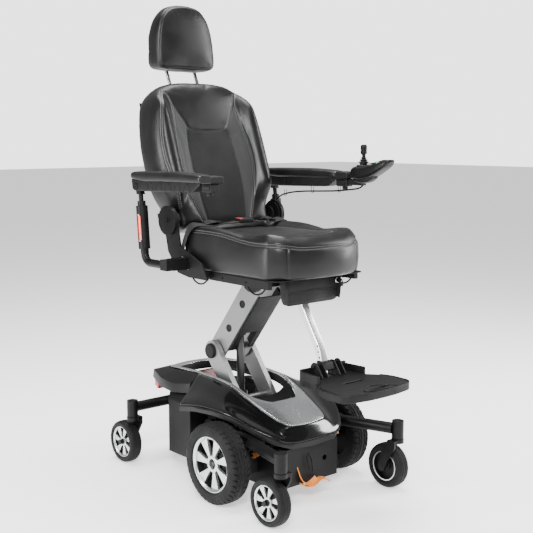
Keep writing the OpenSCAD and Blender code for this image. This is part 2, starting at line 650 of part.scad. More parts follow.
// ---- joystick ----
module joystick_housing() color(black) from_axle() {
    difference() {
        plate_x(262, 322) polygon([[-62, 1034], [-52, 1052], [-58, 1076], [-120, 1080], [-182, 1094],
            [-218, 1102], [-226, 1096], [-210, 1078], [-150, 1044], [-110, 1032]]);
        translate([stick_x, stick_y, stick_z - 26]) cylinder(r = 24, h = 40);
        // seats of the gimbal ring's pins
        bar_x(stick_x - 28.3, stick_x + 28.3, stick_y, gimbal_z, gimbal_pin_r + run);
        for (x = [277, 307]) translate([x, -176, 1090]) rotate([-12, 0, 0])
            cylinder(r = 8.2, h = 20, center = true);
    }
    // bracket back to the armrest's front
    box([pad_x - 10, -80, 1012], [pad_x + 10, -30, 1032]);
    box([pad_x - 10, -100, 1012], [pad_x + 10, -74, 1040]);
}
module joystick_gimbal() color([0.5, 0.5, 0.5]) from_axle() translate([stick_x, stick_y, gimbal_z]) {
    difference() {
        translate([0, 0, -4]) cylinder(r = 13, h = 8);
        translate([0, 0, -8]) cylinder(r = 8.5, h = 16);
        translate([0, 22, 0]) rotate([90, 0, 0]) cylinder(r = gimbal_pin_r + run, h = 44);
    }
    // pins that turn in the housing's walls
    both_sides() bar_x(12, 28, 0, 0, gimbal_pin_r);
}
module joystick_stick() color(black) from_axle() translate([stick_x, stick_y, gimbal_z]) {
    translate([0, 0, -6]) cylinder(r = 4, h = 54);
    rotate([90, 0, 0]) translate([0, 0, -12.5]) cylinder(r = gimbal_pin_r, h = 25);
    // bellows boot, three folds
    for (k = [0:2]) translate([0, 0, 20 + 7 * k]) cylinder(r1 = 18 - 3 * k, r2 = 14 - 3 * k, h = 7);
    // ribbed knob
    translate([0, 0, 41]) cylinder(r = 6, h = 8);
    translate([0, 0, 48]) cylinder(r = 10.5, h = 28);
    translate([0, 0, 76]) cylinder(r1 = 10.5, r2 = 8, h = 4);
}
module power_button() color([0.3, 0.6, 0.3]) from_axle()
    translate([277, -176, 1090]) rotate([-12, 0, 0]) translate([0, 0, -4]) cylinder(r = 8, h = 9);
module horn_button() color([0.8, 0.6, 0.1]) from_axle()
    translate([307, -176, 1090]) rotate([-12, 0, 0]) translate([0, 0, -4]) cylinder(r = 8, h = 9);
// Route of the lead from the housing along the armrest and down to the seat frame
cable_route = [[307, -88, 1032], [307, -86, 1024], [307, -78, 1010], [304, -60, 1000], [296, -20, 994],
    [290, 40, 988], [287, 120, 984], [285, 200, 980], [282, 270, 972], [278, 320, 956], [272, 342, 920],
    [268, 342, 880], [266, 336, 840], [264, 324, 800], [263, 300, 772], [262, 270, 759], [262, 244, 757]];
module tube_along(pts, r, sides) {
    n = len(pts);
    dirs = [for (i = [0:n - 1]) let (d = pts[min(i + 1, n - 1)] - pts[max(i - 1, 0)]) d / norm(d)];
    loft([for (i = [0:n - 1]) let (d = dirs[i], u = cross(d, [1, 0, 0.1]), uu = u / norm(u), v = cross(d, uu))
        [for (k = [0:sides - 1]) pts[i] + r * (cos(360 * k / sides) * uu + sin(360 * k / sides) * v)]]);
}
module joystick_cable() color(black) from_axle() tube_along(cable_route, 3, 8);

// ---- footrest ----
tube_pts = [[-108, 706], [-108, 655], [-128, 610], [-158, 562], [-188, 516], [-206, 478], [-214, 436]];
module foot_tube() color(silver) from_axle() {
    difference() {
        plate_x(-15, 15)
            polygon(concat([for (p = tube_pts) p - [11, 0]], [for (p = reversed(tube_pts)) p + [11, 0]]));
        for (z = [476, 490]) bar_x(-20, 20, -206, z, 3.3);
    }
    // saddle that carries the footplate's hinge pin
    box([-20, -246, 440], [20, -198, 468]);
    bar_x(-60, 60, foot_hinge_y, foot_hinge_z, 5);
}
foot_half = [[98, -204], [106, -292], [138, -330], [152, -372], [152, -440], [128, -462], [60, -474],
    [0, -476]];
module footplate() color(charcoal) from_axle() difference() {
    union() {
        difference() {
            translate([0, 0, 400]) linear_extrude(30)
                polygon(concat(foot_half, [for (p = reversed(foot_half)) [-p.x, p.y]]));
            // the front part is thinner than the rear
            box([-200, -480, 422], [200, -300, 440]);
        }
        box([-98, -214, 430], [98, -204, 455]);
        both_sides() box([90, -300, 430], [98, -204, 448]);
        // hinge ears
        both_sides() for (x = [24, 48]) plate_x(x, x + 5)
            polygon([[-206, 430], [-206, 458], [-216, 470], [-230, 470], [-238, 462], [-262, 430]]);
    }
    // room for the tube's saddle
    box([-22, -250, 398], [22, -190, 460]);
    bar_x(-70, 70, foot_hinge_y, foot_hinge_z, 5 + run);
    // hand slot at the front
    translate([0, -446, 398]) slab(96, 20, 40, 9);
    // slot channel
    box([-40, -350, 426], [40, -338, 440]);
}

base_frame();
battery_housing();
batteries();
controller();
motors();
main_shroud();
shroud_trim();
rear_cover();
rear_lamps();
lower_skirt();
drop_plate();
transit_strap();
front_arm_right();
front_arm_left();
rear_beam();
front_right_fork();
front_left_fork();
rear_right_fork();
rear_left_fork();
front_right_rim();
front_left_rim();
rear_right_rim();
rear_left_rim();
front_right_tyre();
front_left_tyre();
rear_right_tyre();
rear_left_tyre();
drive_rim_right();
drive_rim_left();
drive_tyre_right();
drive_tyre_left();
freewheel_lever_right();
freewheel_lever_left();
lower_arms();
knee_shaft();
upper_arms();
arm_cover();
actuator_body();
actuator_rod();
seat_frame();
tie_downs();
seat_cushion();
pouch();
recline_brackets();
lap_belt();
back_frame();
back_cushion();
headrest_posts();
headrest_pad();
arm_posts();
armrest_right();
armrest_left();
joystick_housing();
joystick_gimbal();
joystick_stick();
joystick_cable();
power_button();
horn_button();
foot_tube();
footplate();
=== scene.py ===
"""Power wheelchair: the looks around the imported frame. Metres, +Z up, the chair faces -Y."""
import json
import math

import bmesh
import bpy
import numpy as np
from mathutils import Matrix, Vector
from mathutils.bvhtree import BVHTree


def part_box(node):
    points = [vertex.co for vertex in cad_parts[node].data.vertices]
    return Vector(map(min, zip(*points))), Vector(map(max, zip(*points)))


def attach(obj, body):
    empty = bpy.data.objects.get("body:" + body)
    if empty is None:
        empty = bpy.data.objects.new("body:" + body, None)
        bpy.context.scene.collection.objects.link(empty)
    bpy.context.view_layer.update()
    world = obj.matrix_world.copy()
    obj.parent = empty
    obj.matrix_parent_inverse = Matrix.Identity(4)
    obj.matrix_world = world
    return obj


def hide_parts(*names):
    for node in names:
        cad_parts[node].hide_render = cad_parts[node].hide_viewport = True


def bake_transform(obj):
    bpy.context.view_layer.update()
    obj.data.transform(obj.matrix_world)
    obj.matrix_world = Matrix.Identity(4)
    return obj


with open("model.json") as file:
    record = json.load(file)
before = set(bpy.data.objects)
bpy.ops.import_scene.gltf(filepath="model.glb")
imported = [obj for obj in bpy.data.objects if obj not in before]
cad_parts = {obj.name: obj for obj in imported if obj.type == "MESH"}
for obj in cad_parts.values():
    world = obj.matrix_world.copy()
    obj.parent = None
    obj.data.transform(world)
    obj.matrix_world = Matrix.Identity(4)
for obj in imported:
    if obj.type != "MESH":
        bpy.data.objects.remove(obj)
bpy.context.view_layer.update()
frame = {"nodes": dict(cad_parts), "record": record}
NODES = frame["nodes"]
MM = 0.001
SIDES = ((1, "left"), (-1, "right"))


def centre(node):
    """Middle of a CAD node's box."""
    low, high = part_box(node)
    return (low + high) / 2


AXLE = centre("drive_tyre_left")


def mm(x, y, z):
    """A point in metres from millimetres, with y measured from the drive axle."""
    return Vector((x * MM, y * MM + AXLE.y, z * MM))


# ---- camera and light ----
CAMERA_PLACE = (-2.117, -2.480, 1.179)
CAMERA_DOWN = math.radians(7.634)
CAMERA_TURN = math.radians(-40.496)
FLOOR_HALF = 30
WORLD_LIGHT = 0.3       # how much the white room lights the object
WORLD_SHOWN = 2.6       # how much brighter the camera sees it


def make_camera():
    data = bpy.data.cameras.new("camera")
    data.sensor_width = 36
    data.lens = 65.76
    camera = bpy.data.objects.new("camera", data)
    camera.location = CAMERA_PLACE
    camera.rotation_euler = (math.pi / 2 - CAMERA_DOWN, 0, CAMERA_TURN)
    bpy.context.scene.collection.objects.link(camera)
    bpy.context.scene.camera = camera


def area_light(name, place, target, size, power):
    data = bpy.data.lights.new(name, "AREA")
    data.shape = "RECTANGLE"
    data.size, data.size_y = size
    data.energy = power
    light = bpy.data.objects.new(name, data)
    light.location = place
    light.rotation_euler = (Vector(target) - Vector(place)).to_track_quat("-Z", "Y").to_euler()
    bpy.context.scene.collection.objects.link(light)


def make_studio():
    world = bpy.data.worlds.new("studio")
    bpy.context.scene.world = world
    world.use_nodes = True
    background = world.node_tree.nodes["Background"]
    background.inputs["Color"].default_value = (1.0, 1.0, 1.0, 1)
    rays = world.node_tree.nodes.new("ShaderNodeLightPath")
    strength = world.node_tree.nodes.new("ShaderNodeMath")
    strength.operation = "MULTIPLY_ADD"
    strength.inputs[1].default_value = WORLD_SHOWN
    strength.inputs[2].default_value = WORLD_LIGHT
    world.node_tree.links.new(rays.outputs["Is Camera Ray"], strength.inputs[0])
    world.node_tree.links.new(strength.outputs[0], background.inputs["Strength"])
    area_light("key", (-2.4, -2.6, 2.9), (0, 0, 0.8), (1.2, 1.2), 230)
    area_light("left_strip", (-3.2, 0.8, 1.3), (0, 0, 0.8), (0.6, 2.4), 120)
    area_light("right_strip", (2.8, -1.2, 1.7), (0, 0, 0.9), (0.8, 2.4), 120)
    area_light("top", (0.2, 0.4, 3.8), (0, 0, 0.6), (2.4, 2.4), 260)
    mesh = bpy.data.meshes.new("floor")
    corners = [(-1, -1), (1, -1), (1, 1), (-1, 1)]
    mesh.from_pydata([(x * FLOOR_HALF, y * FLOOR_HALF, 0) for x, y in corners], [], [(0, 1, 2, 3)])
    floor = bpy.data.objects.new("floor", mesh)
    bpy.context.scene.collection.objects.link(floor)
    material = bpy.data.materials.new("floor_white")
    material.use_nodes = True
    shader = material.node_tree.nodes["Principled BSDF"]
    shader.inputs["Base Color"].default_value = (0.93, 0.93, 0.93, 1)
    shader.inputs["Roughness"].default_value = 0.7
    shader.inputs["Emission Color"].default_value = (1, 1, 1, 1)
    shader.inputs["Emission Strength"].default_value = 0.8
    mesh.materials.append(material)


# ---- materials ----
def surface(name, colour, rough, metal=0.0, vary=0.12, vary_scale=9, grain="noise", grain_scale=900,
            grain_depth=0.0002, grain_strength=0.3, coat=0.0, sheen=0.0, specular=0.5):
    """Material whose colour and roughness vary slowly and whose grain is a bump."""
    material = bpy.data.materials.new(name)
    material.use_nodes = True
    nodes, links = material.node_tree.nodes, material.node_tree.links
    shader = nodes["Principled BSDF"]
    shader.inputs["Metallic"].default_value = metal
    shader.inputs["Specular IOR Level"].default_value = specular
    shader.inputs["Coat Weight"].default_value = coat
    shader.inputs["Coat Roughness"].default_value = 0.06
    shader.inputs["Sheen Weight"].default_value = sheen
    shader.inputs["Sheen Roughness"].default_value = 0.4
    place = nodes.new("ShaderNodeTexCoord")
    slow = nodes.new("ShaderNodeTexNoise")
    slow.inputs["Scale"].default_value = vary_scale
    slow.inputs["Detail"].default_value = 5
    links.new(place.outputs["Object"], slow.inputs["Vector"])
    ramp = nodes.new("ShaderNodeMix")
    ramp.data_type = "RGBA"
    ramp.inputs["A"].default_value = (*[c * (1 - vary) for c in colour], 1)
    ramp.inputs["B"].default_value = (*[min(1, c * (1 + vary)) for c in colour], 1)
    links.new(slow.outputs["Fac"], ramp.inputs["Factor"])
    links.new(ramp.outputs["Result"], shader.inputs["Base Color"])
    polish = nodes.new("ShaderNodeMapRange")
    polish.inputs["From Min"].default_value = 0.3
    polish.inputs["From Max"].default_value = 0.7
    polish.inputs["To Min"].default_value = max(0.02, rough * 0.82)
    polish.inputs["To Max"].default_value = min(1, rough * 1.2)
    links.new(slow.outputs["Fac"], polish.inputs["Value"])
    links.new(polish.outputs["Result"], shader.inputs["Roughness"])
    if grain == "cells":
        fine = nodes.new("ShaderNodeTexVoronoi")
        fine.feature = "SMOOTH_F1"
        height = fine.outputs["Distance"]
    elif grain == "weave":
        fine = nodes.new("ShaderNodeTexMagic")
        fine.turbulence_depth = 0
        height = fine.outputs["Fac"] if "Fac" in fine.outputs else fine.outputs[1]
    else:
        fine = nodes.new("ShaderNodeTexNoise")
        fine.inputs["Detail"].default_value = 3
        height = fine.outputs["Fac"]
    fine.inputs["Scale"].default_value = grain_scale
    links.new(place.outputs["Object"], fine.inputs["Vector"])
    bump = nodes.new("ShaderNodeBump")
    bump.inputs["Strength"].default_value = grain_strength
    bump.inputs["Distance"].default_value = grain_depth
    links.new(height, bump.inputs["Height"])
    links.new(bump.outputs["Normal"], shader.inputs["Normal"])
    return material


# The looks of the record's material slots.
LOOKS = {
    "frame_black": dict(colour=(0.004, 0.004, 0.0042), rough=0.42, specular=0.18, grain_scale=2200,
        grain_strength=0.25),
    "plastic_charcoal": dict(colour=(0.007, 0.007, 0.0073), rough=0.5, specular=0.18, grain="cells",
        grain_scale=1400, grain_strength=0.4),
    "gloss_black": dict(colour=(0.004, 0.004, 0.0043), rough=0.16, vary_scale=3, grain_strength=0.02,
        coat=0.6, specular=0.5),
    "trim_silver": dict(colour=(0.7, 0.71, 0.72), rough=0.27, metal=0.9, vary=0.05, grain_scale=3000,
        grain_strength=0.08, coat=0.3),
    "cover_grey": dict(colour=(0.009, 0.009, 0.0094), rough=0.42, specular=0.22, grain="cells",
        grain_scale=1500, grain_strength=0.3),
    "tyre_rubber": dict(colour=(0.006, 0.006, 0.006), rough=0.62, specular=0.18, vary=0.3,
        vary_scale=22, grain_scale=700, grain_strength=0.35, grain_depth=0.0003),
    "rim_alloy": dict(colour=(0.66, 0.67, 0.68), rough=0.27, metal=0.9, vary=0.06, grain_scale=1600,
        grain_strength=0.12, coat=0.25),
    "lift_alloy": dict(colour=(0.24, 0.24, 0.243), rough=0.36, metal=0.75, vary=0.1, vary_scale=14,
        grain_scale=1300, grain_strength=0.35),
    "dark_steel": dict(colour=(0.05, 0.05, 0.052), rough=0.34, metal=0.8, vary=0.15, grain_scale=1500,
        grain_strength=0.2),
    "post_chrome": dict(colour=(0.6, 0.6, 0.6), rough=0.12, metal=1, vary=0.04, grain_strength=0.03),
    "leather_black": dict(colour=(0.0045, 0.0045, 0.0047), rough=0.36, vary=0.18, vary_scale=12,
        grain="cells", grain_scale=520, grain_depth=0.0004, grain_strength=0.45, sheen=0.02,
        specular=0.3),
    "webbing_black": dict(colour=(0.006, 0.006, 0.0063), rough=0.75, specular=0.2, grain="weave",
        grain_scale=420, grain_depth=0.0005, grain_strength=0.6, sheen=0.05),
    "webbing_orange": dict(colour=(0.85, 0.27, 0.04), rough=0.7, vary=0.15, vary_scale=30,
        grain="weave", grain_scale=420, grain_depth=0.0005, grain_strength=0.6, sheen=0.05),
    "pouch_fabric": dict(colour=(0.009, 0.009, 0.0095), rough=0.7, specular=0.2, grain="weave",
        grain_scale=520, grain_depth=0.0004, grain_strength=0.6, sheen=0.05),
    "lamp_red": dict(colour=(0.5, 0.02, 0.02), rough=0.15, grain_strength=0.05, coat=0.6),
    "cable_black": dict(colour=(0.003, 0.003, 0.003), rough=0.42, specular=0.2, grain_strength=0.15),
    "battery_case": dict(colour=(0.2, 0.22, 0.26), rough=0.5),
    "controller_case": dict(colour=(0.35, 0.35, 0.37), rough=0.4, metal=0.6),
    "button_green": dict(colour=(0.1, 0.4, 0.15), rough=0.35),
    "button_amber": dict(colour=(0.7, 0.4, 0.05), rough=0.35),
    "lever_orange": dict(colour=(0.75, 0.22, 0.04), rough=0.45),
}
MATERIALS = {name: surface(name, **look) for name, look in LOOKS.items()}
MESH_DARK = surface("mesh_dark", (0.006, 0.006, 0.0063), 0.72, grain="cells", grain_scale=330,
                    grain_depth=0.0009, grain_strength=0.8, sheen=0.05, specular=0.2)
# Side strips and head panel sides: a separate mesh panel with more sheen. Its base colour is also three times
# lighter than the middle panel's, as painted sheen.
MESH_STRIP_PAINTED_SHEEN = surface("mesh_strip_painted_sheen", (0.018, 0.018, 0.019), 0.6, grain="cells", grain_scale=330,
                     grain_depth=0.0009, grain_strength=0.8, sheen=0.1, specular=0.3)
THREAD = surface("thread", (0.2, 0.2, 0.197), 0.6, grain_strength=0.2)
SEAM = surface("seam", (0.006, 0.006, 0.006), 0.6, grain_strength=0.2)
GLASS_DARK = surface("panel_dark", (0.01, 0.012, 0.015), 0.1, grain_strength=0.02, coat=0.8)
REFLECTOR = surface("reflector", (0.75, 0.05, 0.03), 0.25, vary=0.2, vary_scale=60, grain="cells",
                    grain_scale=380, grain_strength=0.6, coat=0.5)


# ---- mesh tools ----
def shade_smooth(mesh):
    for polygon in mesh.polygons:
        polygon.use_smooth = True


def add(name, verts, faces, body, slot, material=None, replaces=(), bevel=0.0, sharp=32):
    """Makes one piece from vertices in the row frame, on a body."""
    mesh = bpy.data.meshes.new(name)
    mesh.from_pydata([tuple(v) for v in verts], [], [tuple(f) for f in faces])
    work = bmesh.new()
    work.from_mesh(mesh)
    bmesh.ops.remove_doubles(work, verts=work.verts, dist=1e-6)
    bmesh.ops.recalc_face_normals(work, faces=work.faces)
    work.to_mesh(mesh)
    work.free()
    shade_smooth(mesh)
    mesh.set_sharp_from_angle(angle=math.radians(sharp))
    mesh.materials.append(material or MATERIALS[slot])
    piece = bpy.data.objects.new(name, mesh)
    bpy.context.scene.collection.objects.link(piece)
    if bevel:
        round_edges(piece, bevel)
    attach(piece, body)
    if replaces:
        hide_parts(*replaces)
    return piece


def round_edges(piece, width, segments=2, angle=35):
    """Bevels the edges sharper than angle degrees."""
    modifier = piece.modifiers.new("bevel", "BEVEL")
    modifier.width = width
    modifier.segments = segments
    modifier.limit_method = "ANGLE"
    modifier.angle_limit = math.radians(angle)
    modifier.harden_normals = False


def grid_faces(rows, columns, wrap_rows=False, wrap_columns=False):
    """Quads over a grid of rows * columns vertices."""
    faces = []
    for i in range(rows if wrap_rows else rows - 1):
        for j in range(columns if wrap_columns else columns - 1):
            a, b = i * columns, (i + 1) % rows * columns
            k = (j + 1) % columns
            faces.append([a + j, a + k, b + k, b + j])
    return faces


def rings(ring_list):
    """Closed solid through closed rings of points, with its two ends filled."""
    count = len(ring_list[0])
    verts = [Vector(p) for ring in ring_list for p in ring]
    faces = grid_faces(len(ring_list), count, wrap_columns=True)
    faces.append(list(range(count))[::-1])
    faces.append([(len(ring_list) - 1) * count + j for j in range(count)])
    return verts, faces


def spline(points, steps, closed=False):
    """Smooth curve through the points, steps points for each stretch."""
    pts = [np.array(p, float) for p in points]
    n = len(pts)
    out = []
    for i in range(n if closed else n - 1):
        p1, p2 = pts[i], pts[(i + 1) % n]
        p0 = pts[(i - 1) % n] if closed or i > 0 else 2 * p1 - p2
        p3 = pts[(i + 2) % n] if closed or i + 2 < n else 2 * p2 - p1
        for k in range(steps):
            t = k / steps
            out.append(0.5 * (2 * p1 + (p2 - p0) * t + (2 * p0 - 5 * p1 + 4 * p2 - p3) * t**2
                              + (3 * p1 - p0 - 3 * p2 + p3) * t**3))
    if not closed:
        out.append(pts[-1])
    return out


def evenly(points, spacing):
    """Points every spacing metres along a polyline."""
    pts = [Vector(p) for p in points]
    lengths = [0]
    for a, b in zip(pts, pts[1:]):
        lengths.append(lengths[-1] + (b - a).length)
    out = []
    j = 0
    for i in range(int(lengths[-1] / spacing) + 1):
        s = i * spacing
        while j < len(pts) - 2 and lengths[j + 1] < s:
            j += 1
        t = (s - lengths[j]) / max(1e-9, lengths[j + 1] - lengths[j])
        out.append(pts[j].lerp(pts[j + 1], min(t, 1)))
    return out


def sweep(path, section, up=(0, 0, 1), scale=None):
    """Solid swept along a path; section is a list of (side, up) offsets in metres."""
    pts = [Vector(p) for p in path]
    out = []
    for i, p in enumerate(pts):
        along = (pts[min(i + 1, len(pts) - 1)] - pts[max(i - 1, 0)]).normalized()
        side = along.cross(Vector(up)).normalized()
        over = side.cross(along).normalized()
        k = scale[i] if scale else 1
        out.append([p + side * (a * k) + over * (b * k) for a, b in section])
    return rings(out)


def circle(radius, count):
    """Round section for sweep, radius in metres."""
    return [(radius * math.cos(2 * math.pi * k / count), radius * math.sin(2 * math.pi * k / count))
            for k in range(count)]


def lathe(profile, place, axis=(0, 0, 1), count=48, closed=False):
    """Solid of revolution; profile is a list of (radius, height) in millimetres about the axis."""
    turn = Vector((0, 0, 1)).rotation_difference(Vector(axis)).to_matrix()
    verts = []
    for i in range(count):
        a = 2 * math.pi * i / count
        for r, h in profile:
            verts.append(Vector(place) + turn @ Vector((r * math.cos(a), r * math.sin(a), h)) * MM)
    return verts, grid_faces(count, len(profile), wrap_rows=True, wrap_columns=closed)


def prism(outline, low, high, to_world):
    """Extruded outline; to_world turns (u, v, depth) into a point."""
    count = len(outline)
    verts = [to_world(u, v, low) for u, v in outline] + [to_world(u, v, high) for u, v in outline]
    faces = [[j, (j + 1) % count, count + (j + 1) % count, count + j] for j in range(count)]
    faces += [list(range(count))[::-1], [count + j for j in range(count)]]
    return verts, faces


def side_prism(outline, x0, x1):
    """Outline in (y, z) extruded along X."""
    return prism(outline, x0, x1, lambda u, v, d: mm(d, u, v))


def flat_prism(outline, low, high):
    """Outline in (x, y) extruded along Z."""
    return prism(outline, low, high, mm)


def rounded(points, radius, steps=4):
    """Closed 2D outline with rounded corners."""
    out = []
    n = len(points)
    for i in range(n):
        p0, p1, p2 = (Vector(points[(i + k) % n]) for k in (-1, 0, 1))
        a, b = (p0 - p1), (p2 - p1)
        r = min(radius, a.length * 0.45, b.length * 0.45)
        start, end = p1 + a.normalized() * r, p1 + b.normalized() * r
        for k in range(steps + 1):
            t = k / steps
            out.append(tuple(start * (1 - t) ** 2 + p1 * (2 * t * (1 - t)) + end * t**2))
    return out


def joined(*parts):
    """Several (verts, faces) as one."""
    verts, faces = [], []
    for v, f in parts:
        faces += [[len(verts) + k for k in face] for face in f]
        verts += list(v)
    return verts, faces


# ---- sewn pieces ----
SWELL_PRESSURE = 4.0
SWELL_FRAMES = 20
SEAM_STEP = 0.006       # metres between the points that hold a seam down
SEAM_HOLD = 0.0045      # metres around them that stay
STITCH_LENGTH, STITCH_GAP, STITCH_RADIUS = 0.0052, 0.0028, 0.0006
STITCH_STEP = 0.0004
STITCH_SHAPE = ((0, 0.3), (0.2, 1), (0.5, 1.15), (0.8, 1), (1, 0.3))    # share of its length, thickness
SEAM_LIFT = -0.0002
ODD_UP = (0.13, 0.31, 0.94)     # an up that no seam runs along


def swell(piece, cap, pinned, voxel):
    """Remeshes a piece evenly and blows it up as cloth; points where pinned(co) is true stay."""
    remesh = piece.modifiers.new("remesh", "REMESH")
    remesh.mode = "VOXEL"
    remesh.voxel_size = voxel
    bake(piece)
    rest = coordinates(piece)
    group = piece.vertex_groups.new(name="pin")
    held = [i for i, co in enumerate(rest) if pinned(co)]
    group.add(held, 1.0, "REPLACE")
    cloth = piece.modifiers.new("cloth", "CLOTH")
    cloth.settings.quality = 5
    cloth.settings.use_pressure = True
    cloth.settings.uniform_pressure_force = SWELL_PRESSURE
    cloth.settings.effector_weights.gravity = 0
    cloth.settings.vertex_group_mass = "pin"
    cloth.point_cache.frame_start = 1
    cloth.point_cache.frame_end = SWELL_FRAMES
    for number in range(1, SWELL_FRAMES + 1):
        bpy.context.scene.frame_set(number)
    shown = piece.evaluated_get(bpy.context.evaluated_depsgraph_get())
    moved = np.array([v.co for v in shown.data.vertices], float)
    piece.modifiers.remove(cloth)
    bpy.context.scene.frame_set(1)
    shift = moved - rest
    far = np.linalg.norm(shift, axis=1, keepdims=True)
    shift *= np.minimum(1, cap / np.maximum(far, 1e-9))
    set_coordinates(piece, rest + shift)
    smooth = piece.modifiers.new("smooth", "SMOOTH")
    smooth.factor = 0.5
    smooth.iterations = 3
    bake(piece)
    shade_smooth(piece.data)


def coordinates(piece):
    """The mesh's vertices as an array."""
    co = np.zeros(len(piece.data.vertices) * 3)
    piece.data.vertices.foreach_get("co", co)
    return co.reshape(-1, 3)


def set_coordinates(piece, co):
    piece.data.vertices.foreach_set("co", np.asarray(co, float).ravel())
    piece.data.update()


def bake(piece):
    """Applies the piece's modifiers to its mesh."""
    bpy.context.view_layer.update()
    shown = piece.evaluated_get(bpy.context.evaluated_depsgraph_get())
    mesh = bpy.data.meshes.new_from_object(shown)
    piece.modifiers.clear()
    piece.data = mesh


def subdivide(piece):
    modifier = piece.modifiers.new("subdivision", "SUBSURF")
    modifier.levels = modifier.render_levels = 1
    bake(piece)
    shade_smooth(piece.data)


def press_seams(piece, paths, width, depth):
    """Presses a groove into the surface along each path."""
    co = coordinates(piece)
    normals = np.array([v.normal for v in piece.data.vertices])
    nearest = np.full(len(co), 1e9)
    for path in paths:
        for p in evenly(path, 0.003):
            nearest = np.minimum(nearest, np.linalg.norm(co - np.array(p), axis=1))
    push = np.clip(1 - (nearest / width) ** 2, 0, 1) ** 1.5 * depth
    set_coordinates(piece, co - normals * push[:, None])


def surface_of(piece):
    """The piece's mesh as a tree for nearest points and rays."""
    tree = bmesh.new()
    tree.from_mesh(piece.data)
    bvh = BVHTree.FromBMesh(tree)
    tree.free()
    return bvh


def on_surface(bvh, path, spacing):
    """The path's points moved to the surface, with the surface normals."""
    out = []
    for p in evenly(path, spacing):
        place, normal, _, _ = bvh.find_nearest(p)
        out.append((place, normal))
    return out


def stitches(name, bvh, path, offset, body, slot, material=None):
    """A row of stitches beside a seam, offset metres to its side."""
    track = on_surface(bvh, path, 0.002)
    points = []
    for i, (place, normal) in enumerate(track):
        along = (track[min(i + 1, len(track) - 1)][0] - track[max(i - 1, 0)][0]).normalized()
        side = along.cross(normal).normalized()
        near, turned, _, _ = bvh.find_nearest(place + side * offset)
        points.append(near + turned * STITCH_RADIUS * 0.6)
    track = evenly(points, STITCH_STEP)
    parts = []
    step = int((STITCH_LENGTH + STITCH_GAP) / STITCH_STEP)
    reach = int(STITCH_LENGTH / STITCH_STEP)
    for start in range(0, len(track) - reach, step):
        a, b = track[start], track[start + reach]
        if (b - a).length > 1e-5:
            parts.append(sweep([a.lerp(b, t) for t, _ in STITCH_SHAPE], circle(STITCH_RADIUS, 5), up=ODD_UP,
                               scale=[thick for _, thick in STITCH_SHAPE]))
    add(name, *joined(*parts), body, slot, material=material or THREAD, sharp=80)


def seam_line(name, bvh, path, body, slot, radius=0.0011):
    """A thin cord that marks a seam on the surface."""
    points = [place + normal * SEAM_LIFT for place, normal in on_surface(bvh, path, 0.005)]
    add(name, *sweep(points, circle(radius, 6), up=ODD_UP), body, slot, material=SEAM)


# ---- carried-over CAD nodes ----
KEPT_BEVELS = {
    "base_frame": 0.001, "battery_housing": 0.003, "batteries": 0.002, "controller": 0.001, "motors": 0.002,
    "rear_cover": 0.003, "rear_lamps": 0.002, "lower_skirt": 0.0015, "drop_plate": 0.002,
    "front_arm_right": 0.0015, "front_arm_left": 0.0015, "rear_beam": 0.0015,
    "freewheel_lever_right": 0.001, "freewheel_lever_left": 0.001, "lower_arms": 0.002, "knee_shaft": 0.002,
    "upper_arms": 0.0012, "arm_cover": 0.0012, "actuator_body": 0.001, "actuator_rod": 0.001,
    "seat_frame": 0.0012, "recline_brackets": 0.0012, "back_frame": 0.001,
    "headrest_posts": 0.0008, "arm_posts": 0.001, "joystick_gimbal": 0.0004,
    "power_button": 0.0008, "horn_button": 0.0008,
}


def finish_cad_node(name, bevel):
    """Gives a CAD node its material, flat faces and rounded edges; the mesh itself stays."""
    piece = NODES[name]
    slot = [s["material_slot"] for s in frame["record"]["subparts"] if s["node"] == name][0]
    piece.data.materials.clear()
    piece.data.materials.append(MATERIALS[slot])
    weld = piece.modifiers.new("weld", "WELD")
    weld.merge_threshold = 0.00002
    flat = piece.modifiers.new("flat", "DECIMATE")
    flat.decimate_type = "DISSOLVE"
    flat.angle_limit = math.radians(1)
    if bevel:
        round_edges(piece, bevel, segments=2, angle=40)
    else:
        split = piece.modifiers.new("split", "EDGE_SPLIT")
        split.split_angle = math.radians(35)
    shade_smooth(piece.data)
    normals = piece.modifiers.new("normals", "WEIGHTED_NORMAL")
    normals.weight = 80


# ---- wheels ----
def wheel_place(node, side):
    """A function from (axial outward, angle, radius) in millimetres to a point of the wheel."""
    middle = centre(node)

    def point(h, a, r):
        return middle + Vector((side * h, r * math.cos(a), r * math.sin(a))) * MM
    return point


def wedge(point, r0, r1, a0, a1, b0, b1, low, high):
    """A spoke: from radius r0 (angles a0 to a1) to radius r1 (angles b0 to b1)."""
    shares = [k / 5 for k in range(6)]
    edge = [(r0, a0 + (a1 - a0) * t) for t in shares] + [(r1, b1 + (b0 - b1) * t) for t in shares]
    verts = [point(low, a, r) for r, a in edge] + [point(high, a, r) for r, a in edge]
    n = len(edge)
    faces = [[j, (j + 1) % n, n + (j + 1) % n, n + j] for j in range(n)]
    faces += [list(range(n))[::-1], [n + j for j in range(n)]]
    return verts, faces


def ring_part(point, profile, count=72):
    """Closed profile of (radius, axial) turned round the wheel."""
    verts = [point(h, 2 * math.pi * i / count, r) for i in range(count) for r, h in profile]
    return verts, grid_faces(count, len(profile), wrap_rows=True, wrap_columns=True)


DRIVE_TYRE = [(92, -31), (95, -36), (106, -37), (118, -36), (126, -33), (131, -27), (133, -14), (133.5, 0),
              (133, 14), (131, 27), (126, 33), (118, 36), (106, 37), (95, 36), (92, 31)]
CASTER_TYRE = [(56.4, -19), (58, -22.4), (66, -23), (71.5, -21), (74.6, -15), (75.9, -8), (76, 0), (75.9, 8),
               (74.6, 15), (71.5, 21), (66, 23), (58, 22.4), (56.4, 19)]
CASTER_SCALE = 0.61
SPOKES = 7


